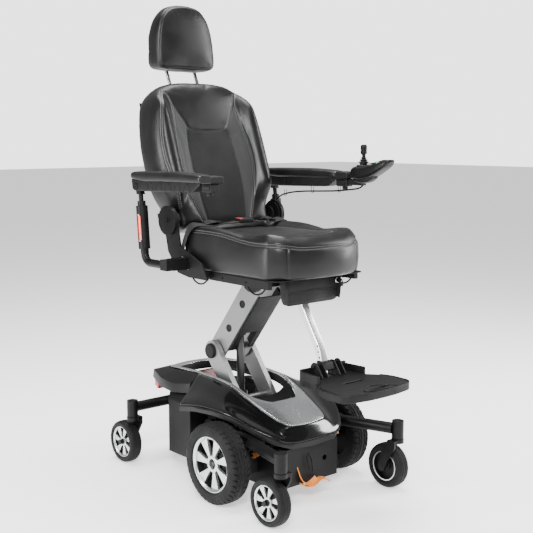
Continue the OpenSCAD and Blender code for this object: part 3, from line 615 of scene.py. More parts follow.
def tread_depth(turn, r, h):
    """How deep the drive tyre's tread is cut at a share of a turn, a radius and a width."""
    blocks = 40
    wide = abs(h)
    if r <= 112:
        return 0.0
    phase = (turn * blocks + (0.5 if h > 0 else 0) + 0.28 * wide / 12) % 1
    if 5 < wide < 7.2 or 15.5 < wide < 17.5:
        return 3.2
    if 17.5 <= wide and phase < 0.26:
        return 3.4 if r > 126 else 1.6
    if 7.2 <= wide <= 15.5 and (phase + 0.4) % 1 < 0.2:
        return 2.6
    return 0.0


def drive_tyre(side, name):
    """Tyre with tread blocks and two rings on its wall."""
    node = "drive_tyre_" + name
    point = wheel_place(node, side)
    section = spline(DRIVE_TYRE, 4) + [(92, 20), (92, -20)]
    count = 480
    verts = []
    for i in range(count):
        turn = i / count
        for r, h in section:
            cut_in = tread_depth(turn, r, h)
            verts.append(point(h * (1 - cut_in * 0.004), 2 * math.pi * turn, r - cut_in))
    faces = grid_faces(count, len(section), wrap_rows=True, wrap_columns=True)
    add(node + "_treaded", verts, faces, "drive_wheel_" + name, "tyre_rubber", replaces=(node,), sharp=28)
    marks = [ring_part(point, [(r - 0.8, 36.6), (r, 37.2), (r + 0.8, 36.4)], 96) for r in (101, 112)]
    add(node + "_rings", *joined(*marks), "drive_wheel_" + name, "tyre_rubber")


RIM_LIP = [(83, 20), (91.8, 27), (91.8, 31), (89, 32), (82, 26)]
RIM_CENTRE = [(16, 12), (28, 12), (27, 22), (17, 23)]
RIM_BARREL = [(84, -30), (91.9, -31), (91.9, 27), (83.5, 20), (82, 0)]
RIM_DISH = [(12, -6), (83, -6), (83, 1), (26, 6), (12, 6)]
RIM_HUB = [(11, -20), (25, -20), (25, 14), (11, 14)]


def spoked_rim(node, body, side, k, name):
    """Machined wheel face with wedge spokes over a dark dish; k is its size against the drive rim."""
    point = wheel_place(node, side)

    def turned(profile):
        return ring_part(point, [(r * k, h * k) for r, h in profile])

    turns = [i * 2 * math.pi / SPOKES for i in range(SPOKES)]
    face = [turned(RIM_LIP)]
    face += [wedge(point, 25 * k, 84 * k, a - 0.20, a + 0.16, a - 0.13, a + 0.30, 10 * k, 21 * k)
             for a in turns]
    face.append(turned(RIM_CENTRE))
    add(name + "_face", *joined(*face), body, "rim_alloy", replaces=(node,), bevel=0.0012 * k, sharp=40)
    dish = [turned(RIM_BARREL), turned(RIM_DISH)]
    dish += [wedge(point, 22 * k, 83 * k, a - 0.11, a + 0.09, a - 0.05, a + 0.20, 0, 12 * k) for a in turns]
    add(name + "_dish", *joined(*dish), body, "plastic_charcoal", sharp=40)
    add(name + "_hub", *turned(RIM_HUB), body, "plastic_charcoal", bevel=0.001)


def wheel_bolt(name, node, body, side, radius, out):
    """Hexagonal bolt head on a washer."""
    middle, axis = centre(node), (side, 0, 0)
    bolt = lathe([(0, 0), (radius, 0), (radius, out - 1), (radius - 1, out), (0, out)], middle, axis, 6)
    washer = lathe([(0, out * 0.2), (radius * 1.5, out * 0.2), (radius * 1.5, out * 0.45), (0, out * 0.45)],
                   middle, axis, 32)
    add(name, *joined(bolt, washer), body, "dark_steel", bevel=0.0005)


def caster_tyre(node, body, side):
    """Smooth tyre with three grooves."""
    point = wheel_place(node, side)
    section = spline(CASTER_TYRE, 5) + [(56.4, 10), (56.4, -10)]
    verts = []
    count = 120
    for i in range(count):
        for r, h in section:
            groove = 1.3 if r > 73 and (abs(abs(h) - 9) < 0.9 or abs(h) < 0.5) else 0
            verts.append(point(h, 2 * math.pi * i / count, r - groove))
    add(node + "_moulded", verts, grid_faces(count, len(section), wrap_rows=True, wrap_columns=True), body,
        "tyre_rubber", replaces=(node,), sharp=40)


def build_wheels():
    for side, name in SIDES:
        body = "drive_wheel_" + name
        drive_tyre(side, name)
        spoked_rim("drive_rim_" + name, body, side, 1.0, "drive_wheel_" + name)
        wheel_bolt("drive_wheel_bolt_" + name, "drive_rim_" + name, body, side, 8, 19)
        for end in ("front", "rear"):
            node = end + "_" + name
            caster_tyre(node + "_tyre", node + "_wheel", side)
            spoked_rim(node + "_rim", node + "_wheel", side, CASTER_SCALE, node + "_caster")
            cap = lathe([(0, 8), (11, 8), (11, 16), (9, 18.5), (0, 19)], centre(node + "_rim"), (side, 0, 0),
                        32)
            add(node + "_caster_cap", *cap, node + "_wheel", "plastic_charcoal")


# ---- base covers ----
TRIM_EDGE = [(118, 300, 348), (119, 200, 345), (120, 110, 335), (114, 30, 309), (103, -50, 278),
             (84, -126, 250), (48, -143, 246), (0, -149, 245)]
HEM_EDGE = [(240, 246, 268), (238, 160, 284), (234, 70, 290), (222, 0, 283), (194, -75, 256),
            (146, -142, 221), (92, -168, 203), (0, -176, 202)]
BULGE = [6, 10, 6, 0, 0, 4, 4, 3]
TRIM_LIFT, TRIM_CROWN = 3.4, 2.6
TRAY_MIDDLE = 289
TRAY_ROWS = ((-23.5, 24, 294), (-16, 54, 294), (10, 74, 299), (40, 91, 306), (62, 97, 314), (84, 101, 322))
WELL_STEPS = ((1, 0), (-4, 1.5), (-14, 3), (-26, 3.5))     # drop, and pull inwards
TRIM_OUTER = [(0, 520, 335), (100, 495, 336), (115, 440, 341), (118, 370, 346)] + TRIM_EDGE
TRIM_INNER = [(0, 476, 338), (93, 448, 340), (101, 425, 342), (104, 365, 346), (104, 300, 348),
              (105, 195, 345), (105, 110, 335), (92, 40, 310), (56, -16, 297), (30, -22, 297), (16, -24, 297),
              (0, -25, 297)]


def both_halves(half):
    """Full path from the +X tip over the middle plane to the -X tip; the half ends on the plane."""
    return [Vector(p) for p in half] + [Vector((-p[0], p[1], p[2])) for p in half[-2::-1]]


def loop(half):
    """Closed path from a half path that starts and ends on the middle plane."""
    return [Vector(p) for p in half] + [Vector((-p[0], p[1], p[2])) for p in half[-2:0:-1]]


def shell(name, edge_rows, body, slot, thick, replaces=(), wrap=False):
    """A skin through rows of points that run along the object, thickened downwards."""
    rows, columns = len(edge_rows), len(edge_rows[0])
    verts = [mm(*p) for row in edge_rows for p in row]
    piece = add(name, verts, grid_faces(rows, columns, wrap_columns=wrap), body, slot, replaces=replaces,
                sharp=60)
    solid = piece.modifiers.new("thickness", "SOLIDIFY")
    solid.thickness = thick
    solid.offset = -1
    round_edges(piece, thick * 0.3)
    return piece


def upward(piece):
    """Turns the faces so that they look up, which makes the thickness grow downwards."""
    if sum(p.normal.z * p.area for p in piece.data.polygons) < 0:
        piece.data.flip_normals()


def lerp(a, b, t):
    return a * (1 - t) + b * t


def build_shroud():
    """Gloss shroud, silver trim, well liner, front tray and the ridges over the skirt."""
    edge = spline(both_halves(TRIM_EDGE), 6)
    hem = spline(both_halves(HEM_EDGE), 6)
    bulge = spline([(b, 0, 0) for b in BULGE + BULGE[-2::-1]], 6)
    columns = 12
    rows = []
    for k in range(columns + 1):
        t = k / columns
        row = []
        for a, b, lift in zip(edge, hem, bulge):
            p = lerp(a, b, t)
            crown = 4 * t * (1 - t) * lift[0]
            flare = 9 * math.sin(math.pi * t) ** 2 * (1 if abs(p[0]) > 110 else abs(p[0]) / 110)
            p = p + np.array([math.copysign(min(abs(p[0]), crown / 2), p[0]), 0, crown - flare * (t > 0)])
            row.append(p)
        rows.append(row)
    upward(shell("shroud_moulded", rows, "base", "gloss_black", 0.0035, replaces=("main_shroud",)))
    outer, inner = spline(loop(TRIM_OUTER), 6, closed=True), spline(loop(TRIM_INNER), 6, closed=True)
    rows = []
    for k in range(7):
        t = k / 6
        crown = np.array([0, 0, TRIM_LIFT + TRIM_CROWN * math.sin(math.pi * t)])
        rows.append([lerp(a, b, t) + crown for a, b in zip(outer, inner)])
    upward(shell("trim_moulded", rows, "base", "trim_silver", 0.003, replaces=("shroud_trim",), wrap=True))
    well = []
    for drop, pull in WELL_STEPS:
        well.append([(x * (1 - pull / 100), y + pull * (1 if y < 200 else -1), z + drop) for x, y,
                     z in inner])
    shell("well_liner", well, "base", "plastic_charcoal", 0.0025, wrap=True)
    tray = []
    for y, half, rise in TRAY_ROWS:
        tray.append([(half * t, y, lerp(TRAY_MIDDLE, rise, abs(t) ** 4)) for t in np.linspace(-1, 1, 21)])
    upward(shell("front_tray", tray, "base", "plastic_charcoal", 0.003))
    for side, name in SIDES[::-1]:
        ridge = spline([(side * (x + 1.5), y, z - 9) for x, y, z in HEM_EDGE[1:-1]], 5)
        add("skirt_ridge_" + name, *sweep([mm(*p) for p in ridge], circle(0.0022, 8)), "base", "cover_grey")


# ---- seat ----
PLAN = [(0, -236), (80, -230), (150, -208), (188, -176), (203, -120), (207, 150), (204, 236), (170, 262)]

FRONT_SEAM = [(-148, -207, 742), (-150, -208, 770), (-150, -207, 800), (-149, -203, 838)]
TOP_SEAM = [(-128, 250), (-132, 150), (-128, 20), (-118, -80), (-90, -150), (0, -172)]


def smooth_step(low, high, value):
    """Eased share, 0 to 1, of the way from low to high."""
    t = min(1, max(0, (value - low) / (high - low)))
    return t * t * (3 - 2 * t)


def seat_outline():
    """The cushion's plan, closed, as points in (x, y)."""
    return [Vector(p) for p in spline(PLAN + [(-x, y) for x, y in PLAN[::-1] if x > 0], 6, closed=True)]


def seat_seam_height(p):
    """The seam falls from the rear corners to the front roll."""
    return 835 + 30 * smooth_step(-170, 110,
                                  p.y) + 13 * smooth_step(90, 200, abs(p.x)) * smooth_step(0, -200, p.y)


def seat_top_height(p):
    """Top of the cushion: raised sides, a roll at the front and a fall to the rear."""
    side = 11 * smooth_step(90, 190, abs(p.x))
    roll = 15 * math.exp(-((p.y + 150) / 75) ** 2)
    return 858 + side + roll - 5 * smooth_step(100, 260, p.y)


def near_any(points, reach):
    """A test that says whether a place lies within reach metres of any of the points."""
    points = np.array([np.array(p) for p in points])
    return lambda co: np.min(np.sum((points - co) ** 2, axis=1)) < reach ** 2


def seam_points(lines, step=SEAM_STEP):
    return [p for line in lines for p in evenly(line, step)]


def build_seat():
    """Sewn seat cushion with its seams and stitches, on a board."""
    outline = seat_outline()
    middle = Vector((0, 20))

    def ring(inset, height):
        out = []
        for p in outline:
            q = p + (middle - p).normalized() * inset
            out.append(mm(q.x, q.y, height(q) if callable(height) else height))
        return out

    shape = [ring(14, 736), ring(5, 741), ring(2, 760), ring(0, 790),
             ring(2, lambda p: seat_seam_height(p) - 16), ring(7, seat_seam_height),
             ring(13, lambda p: seat_seam_height(p) + 12),
             ring(30, lambda p: max(seat_seam_height(p) + 17, seat_top_height(p) - 4)),
             ring(60, seat_top_height), ring(110, seat_top_height), ring(150, seat_top_height),
             ring(185, lambda p: seat_top_height(p) - 1)]
    cushion = add("seat_cushion_sewn", *rings(shape), "seat", "leather_black", replaces=("seat_cushion",),
                  sharp=180)
    seam = ring(7, seat_seam_height)
    seam = seam + [seam[0]]
    front = [mm(*p) for p in FRONT_SEAM]
    front_left = [Vector((-p.x, p.y, p.z)) for p in front]
    inset_seam = [mm(x, y, 880) for x, y in TOP_SEAM + [(-x, y) for x, y in TOP_SEAM[-2::-1]]]
    tree = surface_of(cushion)
    top_seam = []
    for p in evenly(spline(inset_seam, 6), 0.01):
        hit, _, _, _ = tree.ray_cast(Vector((p.x, p.y, 1.0)), Vector((0, 0, -1)))
        if hit:
            top_seam.append(hit)
    lines = [seam, front, front_left, top_seam]
    on_seam = near_any(seam_points(lines), SEAM_HOLD)
    swell(cushion, 0.011, lambda co: co[2] < 0.745 or on_seam(co), voxel=0.0065)
    subdivide(cushion)
    press_seams(cushion, lines[:1], 0.008, 0.0032)
    press_seams(cushion, lines[1:], 0.006, 0.0022)
    bvh = surface_of(cushion)
    for number, line in enumerate(lines):
        seam_line("seat_seam_%d" % number, bvh, line, "seat", "leather_black", radius=0.0009)
    for number, (line, gap) in enumerate([(seam, 0.0045), (seam, -0.0045), (top_seam, 0.0035)]):
        stitches("seat_stitches_%d" % number, bvh, line, gap, "seat", "leather_black")
    board = rounded([(-190, -205), (190, -205), (196, 240), (-196, 240)], 30)
    add("seat_board", *flat_prism(board, 735.2, 737.5), "seat", "plastic_charcoal")


# ---- back ----
RECLINE = math.radians(20)
HINGE = (304, 896)
BACK_HALF = [(0, -34), (150, -34), (190, -28), (204, 40), (232, 110), (241, 200), (238, 290), (222, 380),
             (199, 446), (150, 488), (86, 500), (0, 503)]
BOLSTER_SEAM = [(158, 462), (139, 412), (146, 340), (158, 250), (156, 160), (138, 70), (104, -22)]
OUTER_SEAM = [(170, 462), (205, 390), (224, 290), (226, 200), (214, 110), (190, 30)]
INNER_SEAM = [(92, 322), (101, 250), (104, 160), (98, 70), (86, -20)]
HEAD_SEAM = [(-150, 452), (-128, 400), (-100, 345), (-84, 322), (-60, 315), (0, 313)]
PANEL_TOP, HEAD_TOP, HEAD_HALF = 318, 400, 146
PANEL_EDGE = ([-34, 70, 160, 250, 318], [84, 98, 104, 101, 92])         # heights, half widths
STRIP_EDGE = ([-34, 70, 160, 250, 330], [100, 136, 155, 157, 147])


def back_point(x, v, w):
    """A point of the leaned back from its own upright frame, in millimetres."""
    y = HINGE[0] + v * math.cos(RECLINE) + w * math.sin(RECLINE)
    z = HINGE[1] - v * math.sin(RECLINE) + w * math.cos(RECLINE)
    return mm(x, y, z)


def back_front(x, w):
    """Front surface of the back: a middle panel between two bolsters."""
    side = math.exp(-((abs(x) - 196) / 40) ** 2) * smooth_step(20, 120, w) * smooth_step(500, 380, w)
    lumbar = 7 * math.exp(-((w - 120) / 90) ** 2) * smooth_step(150, 60, abs(x))
    head = 6 * smooth_step(300, 345, w) * smooth_step(170, 110, abs(x))
    return -22 - 42 * side - lumbar - head


def head_edge(w):
    """Half width of the head panel at a height: narrow at its foot and wide at the crown."""
    return 88 + 62 * smooth_step(318, 440, w)


def closed_outline(half):
    """Smooth closed outline from a half that starts and ends on the middle plane."""
    return [Vector(p) for p in spline(half + [(-x, h) for x, h in half[-2:0:-1]], 5, closed=True)]


def build_back():
    """Sewn back cushion: bolsters, mesh panels, head panel, seams and stitches."""
    outline = closed_outline(BACK_HALF)
    middle = Vector((0, 225))

    def ring(inset, depth, corner=0):
        out = []
        for p in outline:
            more = corner * smooth_step(360, 470, p.y) * smooth_step(70, 150, abs(p.x))
            q = p + (middle - p).normalized() * min(inset + more, (middle - p).length * 0.96)
            out.append(back_point(q.x, depth(q.x, q.y) if callable(depth) else depth, q.y))
        return out

    shape = [ring(200, 84), ring(60, 84), ring(14, 83), ring(4, 76), ring(0, 50), ring(0, 20),
             ring(1, lambda x, w: min(6, back_front(x, w) + 34), 2),
             ring(6, lambda x, w: back_front(x, w) + 14, 3), ring(15, lambda x, w: back_front(x, w) + 4, 4)]
    shape += [ring(d, back_front, 4) for d in (27, 40, 54, 68, 84, 102, 126, 155, 190, 215)]
    cushion = add("back_cushion_sewn", *rings(shape), "back", "leather_black", replaces=("back_cushion",),
                  sharp=180)
    seams = []
    for side in (-1, 1):
        for points in (BOLSTER_SEAM, OUTER_SEAM, INNER_SEAM):
            seams.append([back_point(side * x, back_front(x, w), w) for x, w in spline(points, 5)])
    head = HEAD_SEAM + [(-x, w) for x, w in HEAD_SEAM[-2::-1]]
    seams.append([back_point(x, back_front(x, w), w) for x, w in spline(head, 5)])
    on_seam = near_any(seam_points(seams), SEAM_HOLD)
    lean = Matrix.Rotation(RECLINE, 3, "X")
    pivot = mm(0, *HINGE)

    def local(co):
        """A place in the back's own upright frame, in metres from the hinge."""
        return lean @ (Vector(co) - pivot)

    swell(cushion, 0.010, lambda co: local(co).y > 0.076 or on_seam(co), voxel=0.0065)
    subdivide(cushion)
    press_seams(cushion, seams, 0.007, 0.003)
    cushion.data.materials.append(MESH_DARK)
    # The third material is the side strips' mesh, painted lighter as painted sheen.
    cushion.data.materials.append(MESH_STRIP_PAINTED_SHEEN)
    for polygon in cushion.data.polygons:
        p = local(polygon.center) / MM
        if p.y < 5 and p.z < PANEL_TOP:
            if abs(p.x) < np.interp(p.z, *PANEL_EDGE):
                polygon.material_index = 1
            # Side strips get the mesh painted lighter as painted sheen.
            elif abs(p.x) < np.interp(p.z, *STRIP_EDGE):
                polygon.material_index = 2
        elif p.y < 5 and p.z < HEAD_TOP and head_edge(p.z) < abs(p.x) < HEAD_HALF:
            polygon.material_index = 2
    bvh = surface_of(cushion)
    for number, line in enumerate(seams):
        seam_line("back_seam_%d" % number, bvh, line, "back", "leather_black", radius=0.0009)
    for number in (0, 1, 3, 4):
        for gap in (0.0042, -0.0042):
            stitches("back_stitches_%d_%s" % (number, "a" if gap > 0 else "b"), bvh, seams[number], gap,
                     "back", "leather_black")


HEAD_PAD_HALF = [(0, 6), (90, 6), (118, 12), (127, 36), (126, 90), (119, 144), (103, 190), (72, 224),
                 (34, 236), (0, 238)]
HEAD_PAD_FOOT = (548, 1408)
HEAD_PAD_LEAN = math.radians(5)


def head_pad_point(x, d, h):
    """A point of the leaning pad, d behind and h above its foot; the rear thins toward the top."""
    d -= max(0, d) * 0.55 * smooth_step(120, 240, h)
    c, s = math.cos(HEAD_PAD_LEAN), math.sin(HEAD_PAD_LEAN)
    return mm(x, HEAD_PAD_FOOT[0] + d * c + h * s, HEAD_PAD_FOOT[1] - d * s + h * c)


def build_headrest():
    """Sewn headrest pad with one seam."""
    outline = closed_outline(HEAD_PAD_HALF)
    middle = Vector((0, 118))

    def ring(inset, d, crown=0.0):
        out = []
        for p in outline:
            q = p + (middle - p).normalized() * min(inset, (middle - p).length * 0.95)
            far = (q - middle).length / 125
            out.append(head_pad_point(q.x, d - crown * (1 - far * far), q.y))
        return out

    shape = [ring(90, 47), ring(50, 48), ring(20, 45), ring(7, 36), ring(1, 12), ring(0, -8), ring(1, -28),
             ring(6, -41), ring(20, -47, 2), ring(45, -48, 4), ring(75, -48, 5), ring(100, -48, 5)]
    pad = add("headrest_pad_sewn", *rings(shape), "headrest", "leather_black", replaces=("headrest_pad",),
              sharp=180)
    seam = ring(6, -41)
    seam = seam + [seam[0]]
    swell(pad, 0.006, near_any(seam_points([seam], 0.005), 0.004), voxel=0.005)
    subdivide(pad)
    press_seams(pad, [seam], 0.006, 0.0026)
    bvh = surface_of(pad)
    seam_line("headrest_seam", bvh, seam, "headrest", "leather_black")
    stitches("headrest_stitches", bvh, seam, 0.004, "headrest", "leather_black", material=SEAM)


# ---- arms and joystick ----
PAD_X = 292
STICK = mm(PAD_X, -96, 1070)
PAD_ROWS = [(10, 14, 1036, 1051), (13, 24, 1032, 1055), (22, 29, 1031, 1059), (60, 31, 1030, 1062),
            (140, 31, 1029, 1065), (240, 31, 1028, 1064.5), (330, 31, 1026, 1063), (390, 30, 1032, 1061),
            (406, 26, 1035, 1058), (414, 16, 1038, 1053)]
SKIRT_ROWS = [(20, 22, 1028, 1036), (40, 24, 1014, 1036), (62, 24, 1004, 1036), (130, 24, 1001, 1036),
              (230, 24, 998, 1036), (330, 24, 996, 1036), (392, 24, 997, 1036), (402, 23, 1006, 1036),
              (408, 21, 1022, 1036)]


ARCH = [(0, 1003), (3, 1018), (10, 1026), (22, 1026), (30, 1017), (36, 1002)]
HOUSING_ROWS = [(-50, 19, 1036, 1054), (-54, 23, 1034, 1064), (-62, 27, 1033, 1074), (-80, 29.5, 1031, 1078),
                (-110, 30, 1031, 1079.5), (-150, 29.5, 1043, 1086), (-182, 27.5, 1060, 1094),
                (-208, 23, 1076, 1100), (-220, 17, 1088, 1101.5), (-226, 8, 1094, 1099)]
BELLY_ROWS = [(-60, 16, 1026, 1040), (-70, 20, 1022, 1042), (-100, 22, 1019, 1042), (-128, 20, 1024, 1046),
              (-150, 14, 1036, 1052)]
KNOB_SHAPE = [(0, 47), (9, 47), (10.4, 49), (10.8, 56), (9.9, 60), (10.6, 66), (10.8, 74), (9.6, 79),
              (6, 80.6), (0, 80.8)]
KNOB_RIBS, RIB_DEPTH = 16, 0.55


def oval(cx, rows, power, count=28):
    """Solid along Y through rows of (y, half width, low z, high z), with a squarish oval section."""
    out = []
    for y, half, low, high in spline(rows, 4):
        ring = []
        for c, s in circle(1, count):
            across = math.copysign(abs(c) ** (2 / power), c)
            over = math.copysign(abs(s) ** (2 / power), s)
            ring.append(mm(cx + half * across, y, (low + high) / 2 + (high - low) / 2 * over))
        out.append(ring)
    return rings(out)


def build_armrest(name, side):
    """Padded arm with its moulded skirt, grip block, hub and clamp knob."""
    body = "armrest_" + name
    cx = side * PAD_X
    pad = add(body + "_pad", *oval(cx, PAD_ROWS, 3.2), body, "leather_black", replaces=(body,), sharp=180)
    add(body + "_skirt", *oval(cx, SKIRT_ROWS, 7), body, "plastic_charcoal", sharp=40)
    lines = []
    for face in (-1, 1):
        x = cx + face * 24.2
        for start in range(70, 320, 52):
            arch = [(start + along, z) for along, z in ARCH]
            lines.append(sweep([mm(x, y, z) for y, z in spline(arch, 4)], circle(0.0011, 6), up=(1, 0, 0.01)))
    add(body + "_ribs", *joined(*lines), body, "plastic_charcoal")
    grip = rounded([(-41, 1056), (-42, 1034), (14, 1032), (14, 1058)], 7)
    block = [(-30, 1006), (20, 1006), (20, 1033), (-30, 1033)]
    clamp = rounded([(-24, 1016), (8, 1016), (8, 1028), (-24, 1028)], 4)
    parts = [side_prism(shape, cx - half, cx + half) for shape,
             half in ((grip, 26), (block, 16), (clamp, 21))]
    add(body + "_grip", *joined(*parts), body, "plastic_charcoal", bevel=0.003, sharp=40)
    hub = lathe([(0, -27), (13, -27), (13, 27), (0, 27)], mm(cx, 380, 1010), (1, 0, 0), 32)
    add(body + "_hub", *hub, body, "frame_black", bevel=0.0012, sharp=40)
    knob = lathe([(0, 0), (9, 0), (10, 3), (10, 9), (7, 12), (0, 12)], mm(cx + side * 3, -6, 1006),
                 (0, 0, -1), 24)
    add(body + "_clamp_knob", *knob, body, "plastic_charcoal")


def build_joystick():
    """Joystick housing, panel, lamps, bezel, folded boot and ribbed knob."""
    body = "armrest_left"
    add("joystick_housing_moulded", *oval(PAD_X, HOUSING_ROWS, 3.4, 36), body, "gloss_black",
        material=MATERIALS["cable_black"], replaces=("joystick_housing",), sharp=50)
    bracket = side_prism([(-100, 1012), (-30, 1012), (-30, 1030), (-100, 1036)], PAD_X - 9, PAD_X + 9)
    add("joystick_housing_belly", *joined(oval(PAD_X, BELLY_ROWS, 3), bracket), body, "plastic_charcoal",
        sharp=40)
    corners = [(-20, -134, 1084.6), (20, -134, 1084.6), (18, -202, 1100.2), (-18, -202, 1100.2)]
    panel = [mm(PAD_X + x, y, z) for x, y, z in corners]
    verts = panel + [p + Vector((0, -0.4, 1.2)) * MM for p in panel]
    faces = [[0, 1, 2, 3], [7, 6, 5, 4], [0, 4, 5, 1], [1, 5, 6, 2], [2, 6, 7, 3], [3, 7, 4, 0]]
    add("joystick_panel", verts, faces, body, "gloss_black", material=GLASS_DARK, bevel=0.0004)
    lamps = []
    for k in range(5):
        place = mm(PAD_X - 10 + 5 * k, -148, 1089.1)
        lamps.append(lathe([(0, 0), (1.4, 0), (1.1, 0.8), (0, 0.9)], place, (0, -0.22, 1), 16))
    add("joystick_lamps", *joined(*lamps), body, "button_green")
    bezel = lathe([(17, -3), (24, -3), (24.5, 1), (22, 3.2), (18.5, 3.4), (17, 1)],
                  STICK + Vector((0, 0, 8.5)) * MM, count=40, closed=True)
    add("joystick_bezel", *bezel, body, "plastic_charcoal")
    profile = [(0, 12), (13, 12)]
    for k in range(3):
        z, r = 20 + 7 * k, 18.5 - 3.6 * k
        profile += [(r - 5, z - 2), (r - 0.6, z), (r, z + 1.2), (r - 0.8, z + 2.4), (r - 5.5, z + 4)]
    profile += [(6.5, 42), (6, 49), (0, 49)]
    boot = lathe(profile, STICK, count=40)
    verts, count = [], 96
    for k in range(count):
        a = 2 * math.pi * k / count
        for r, z in KNOB_SHAPE:
            rib = RIB_DEPTH * math.cos(KNOB_RIBS * a) if 49 < z < 78 else 0
            verts.append(STICK + Vector(((r + rib) * math.cos(a), (r + rib) * math.sin(a), z)) * MM)
    knob = (verts, grid_faces(count, len(KNOB_SHAPE), wrap_rows=True))
    add("joystick_boot", *boot, "joystick_stick", "cable_black", replaces=("joystick_stick",), sharp=60)
    add("joystick_knob", *knob, "joystick_stick", "cable_black", sharp=60)


CABLE_ROUTE = [(307, -88, 1032), (307, -86, 1024), (307, -78, 1010), (304, -60, 1000), (296, -20, 994),
               (290, 40, 988), (287, 120, 984), (285, 200, 980), (282, 270, 972), (278, 320, 956),
               (272, 342, 920), (268, 342, 880), (266, 336, 840), (264, 324, 800), (263, 300, 772),
               (262, 270, 759), (262, 244, 757)]


def build_cable():
    """The joystick's lead, which bends between the arm and the seat, and its clips."""
    path = evenly([mm(*p) for p in spline(CABLE_ROUTE, 8)], 0.004)
    cable = add("joystick_lead", *sweep(path, circle(0.003, 10), up=(1, 0, 0.1)), "seat", "cable_black",
                replaces=("joystick_cable",), sharp=80)
    cable.parent = None
    mm(*CABLE_ROUTE[8])
    mm(*CABLE_ROUTE[12])
    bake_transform(cable)
    clips = []
    for y, x, z in ((20, 292, 990), (150, 286.5, 982.6), (290, 280.6, 966)):
        arc = [(math.pi + 0.3 + k * (math.pi - 0.6) / 12, 20 if k in (0, 12) else 0) for k in range(13)]
        hook = [mm(x + 6 * math.cos(a), y, z + 6 * math.sin(a) + rise) for a, rise in arc]
        clips.append(sweep(hook, circle(0.0011, 6), up=(0, 1, 0)))
    add("joystick_lead_clips", *joined(*clips), "armrest_left", "frame_black")


# ---- belt, pouch, strap ----
def webbing(path, wide, thick, up):
    """Flat strap along a path, sizes in millimetres."""
    a, b = wide * MM / 2, thick * MM / 2
    shares = (-1, -0.5, 0, 0.5, 1)
    section = [(a * t, -b) for t in shares] + [(a * t, b) for t in shares[::-1]]
    return sweep([mm(*p) for p in spline(path, 8)], section, up=up)


BELT_ROUTE = [(214, 262, 792), (214, 250, 815), (213, 236, 845), (209, 222, 872), (196, 212, 885),
              (165, 205, 884), (130, 200, 881), (95, 196, 886), (62, 195, 884)]
BELT_TAIL = [(150, 214, 888), (128, 206, 893), (100, 203, 891), (78, 206, 889)]
BELT_ENDS = (30, -22)       # where each strap meets the buckle
BUCKLE = (5, 194)


def tilted(u, v, d):
    """A point of the buckle, which tips a little about X."""
    return mm(BUCKLE[0] + u, BUCKLE[1] + v, d + v * 0.05)


def build_belt():
    """Lap belt: two straps with tails, sliders and anchors, and the buckle with its button."""
    for (side, name), end in zip(SIDES, BELT_ENDS):
        path = [(side * x, y, z) for x, y, z in BELT_ROUTE] + [(end, 194, 889)]
        strap = webbing(path, 38, 2.2, (side, 0, 1))
        add("lap_belt_" + name, *strap, "seat", "webbing_black", replaces=("lap_belt",) if side > 0 else (),
            sharp=40)
        tail = [(side * x, y, z) for x, y, z in BELT_TAIL]
        add("lap_belt_tail_" + name, *webbing(tail, 34, 2, (side, 0, 1)), "seat", "webbing_black", sharp=40)
        slider = side_prism(rounded([(184, 882), (222, 882), (222, 894), (184, 894)], 3), side * 106 - 7,
                            side * 106 + 7)
        add("lap_belt_slider_" + name, *slider, "seat", "plastic_charcoal", bevel=0.0015)
        plate = side_prism(rounded([(252, 778), (280, 778), (284, 806), (256, 812)], 6), side * 213,
                           side * 217)
        bolt = lathe([(0, 0), (9, 0), (9, 4), (6, 6), (0, 6)], mm(side * 217, 266, 790), (side, 0, 0), 6)
        add("lap_belt_anchor_" + name, *joined(plate, bolt), "seat", "dark_steel", bevel=0.0006)
    outline = rounded([(-32, -20), (24, -23), (30, -16), (30, 16), (24, 23), (-32, 20)], 6)
    add("lap_belt_buckle", *prism(outline, 884, 899, tilted), "seat", "plastic_charcoal", bevel=0.004,
        sharp=40)
    button = prism(rounded([(-29, -13), (-15, -13), (-15, 13), (-29, 13)], 4), 893, 900.5, tilted)
    add("lap_belt_button", *button, "seat", "lamp_red", bevel=0.0015)


# height, half width, front and back
POUCH_ROWS = ((731, 119, -164, -124), (720, 118, -166, -123), (700, 116, -169, -124), (676, 114, -169, -125),
              (660, 112, -166, -126), (650, 108, -160, -130), (646, 98, -153, -136))
FLAP_DROP = [(-124, 733.5), (-150, 734.5), (-168, 732), (-172.5, 722), (-174, 706)]


def build_pouch():
    """Fabric pouch with a bound flap, a strap and a ring."""
    rows = []
    for z, half, front, back in POUCH_ROWS:
        outline = rounded([(-half, front), (half, front), (half, back), (-half, back)], 14, 5)
        ring = []
        for x, y in outline:
            sag = 3.0 * math.sin(x * 0.075) * math.sin(z * 0.11)
            ring.append(mm(x, y + (sag if y < (front + back) / 2 else 0), z))
        rows.append(ring)
    add("pouch_bag", *rings(rows), "seat", "pouch_fabric", replaces=("pouch",), sharp=70)
    flap = []
    for x in np.linspace(-121, 121, 25):
        drop = FLAP_DROP + [(-174.5, 692 + 2 * math.cos(x * 0.05))]
        flap.append([(x, y, z) for y, z in drop])
    piece = shell("pouch_flap", flap, "seat", "pouch_fabric", 0.002)
    piece.modifiers["thickness"].offset = 0
    edge = [mm(x, -175.4, 693 + 2 * math.cos(x * 0.05)) for x in np.linspace(-120, 120, 41)]
    add("pouch_binding", *sweep(edge, circle(0.0022, 8)), "seat", "webbing_black")
    strap = [(96, -171, 735), (96, -177, 722), (96, -177.5, 700), (96, -175, 676), (96, -172, 660)]
    add("pouch_strap", *webbing(strap, 24, 2, (1, 0, 0)), "seat", "webbing_black", sharp=40)
    loop_path = [mm(96 + 15 * c, -180, 716 + 9 * s) for c, s in circle(1, 32) + [(1, 0)]]
    ring = sweep(loop_path, circle(0.0016, 8), up=(0, 1, 0.01))
    add("pouch_ring", *ring, "seat", "trim_silver")


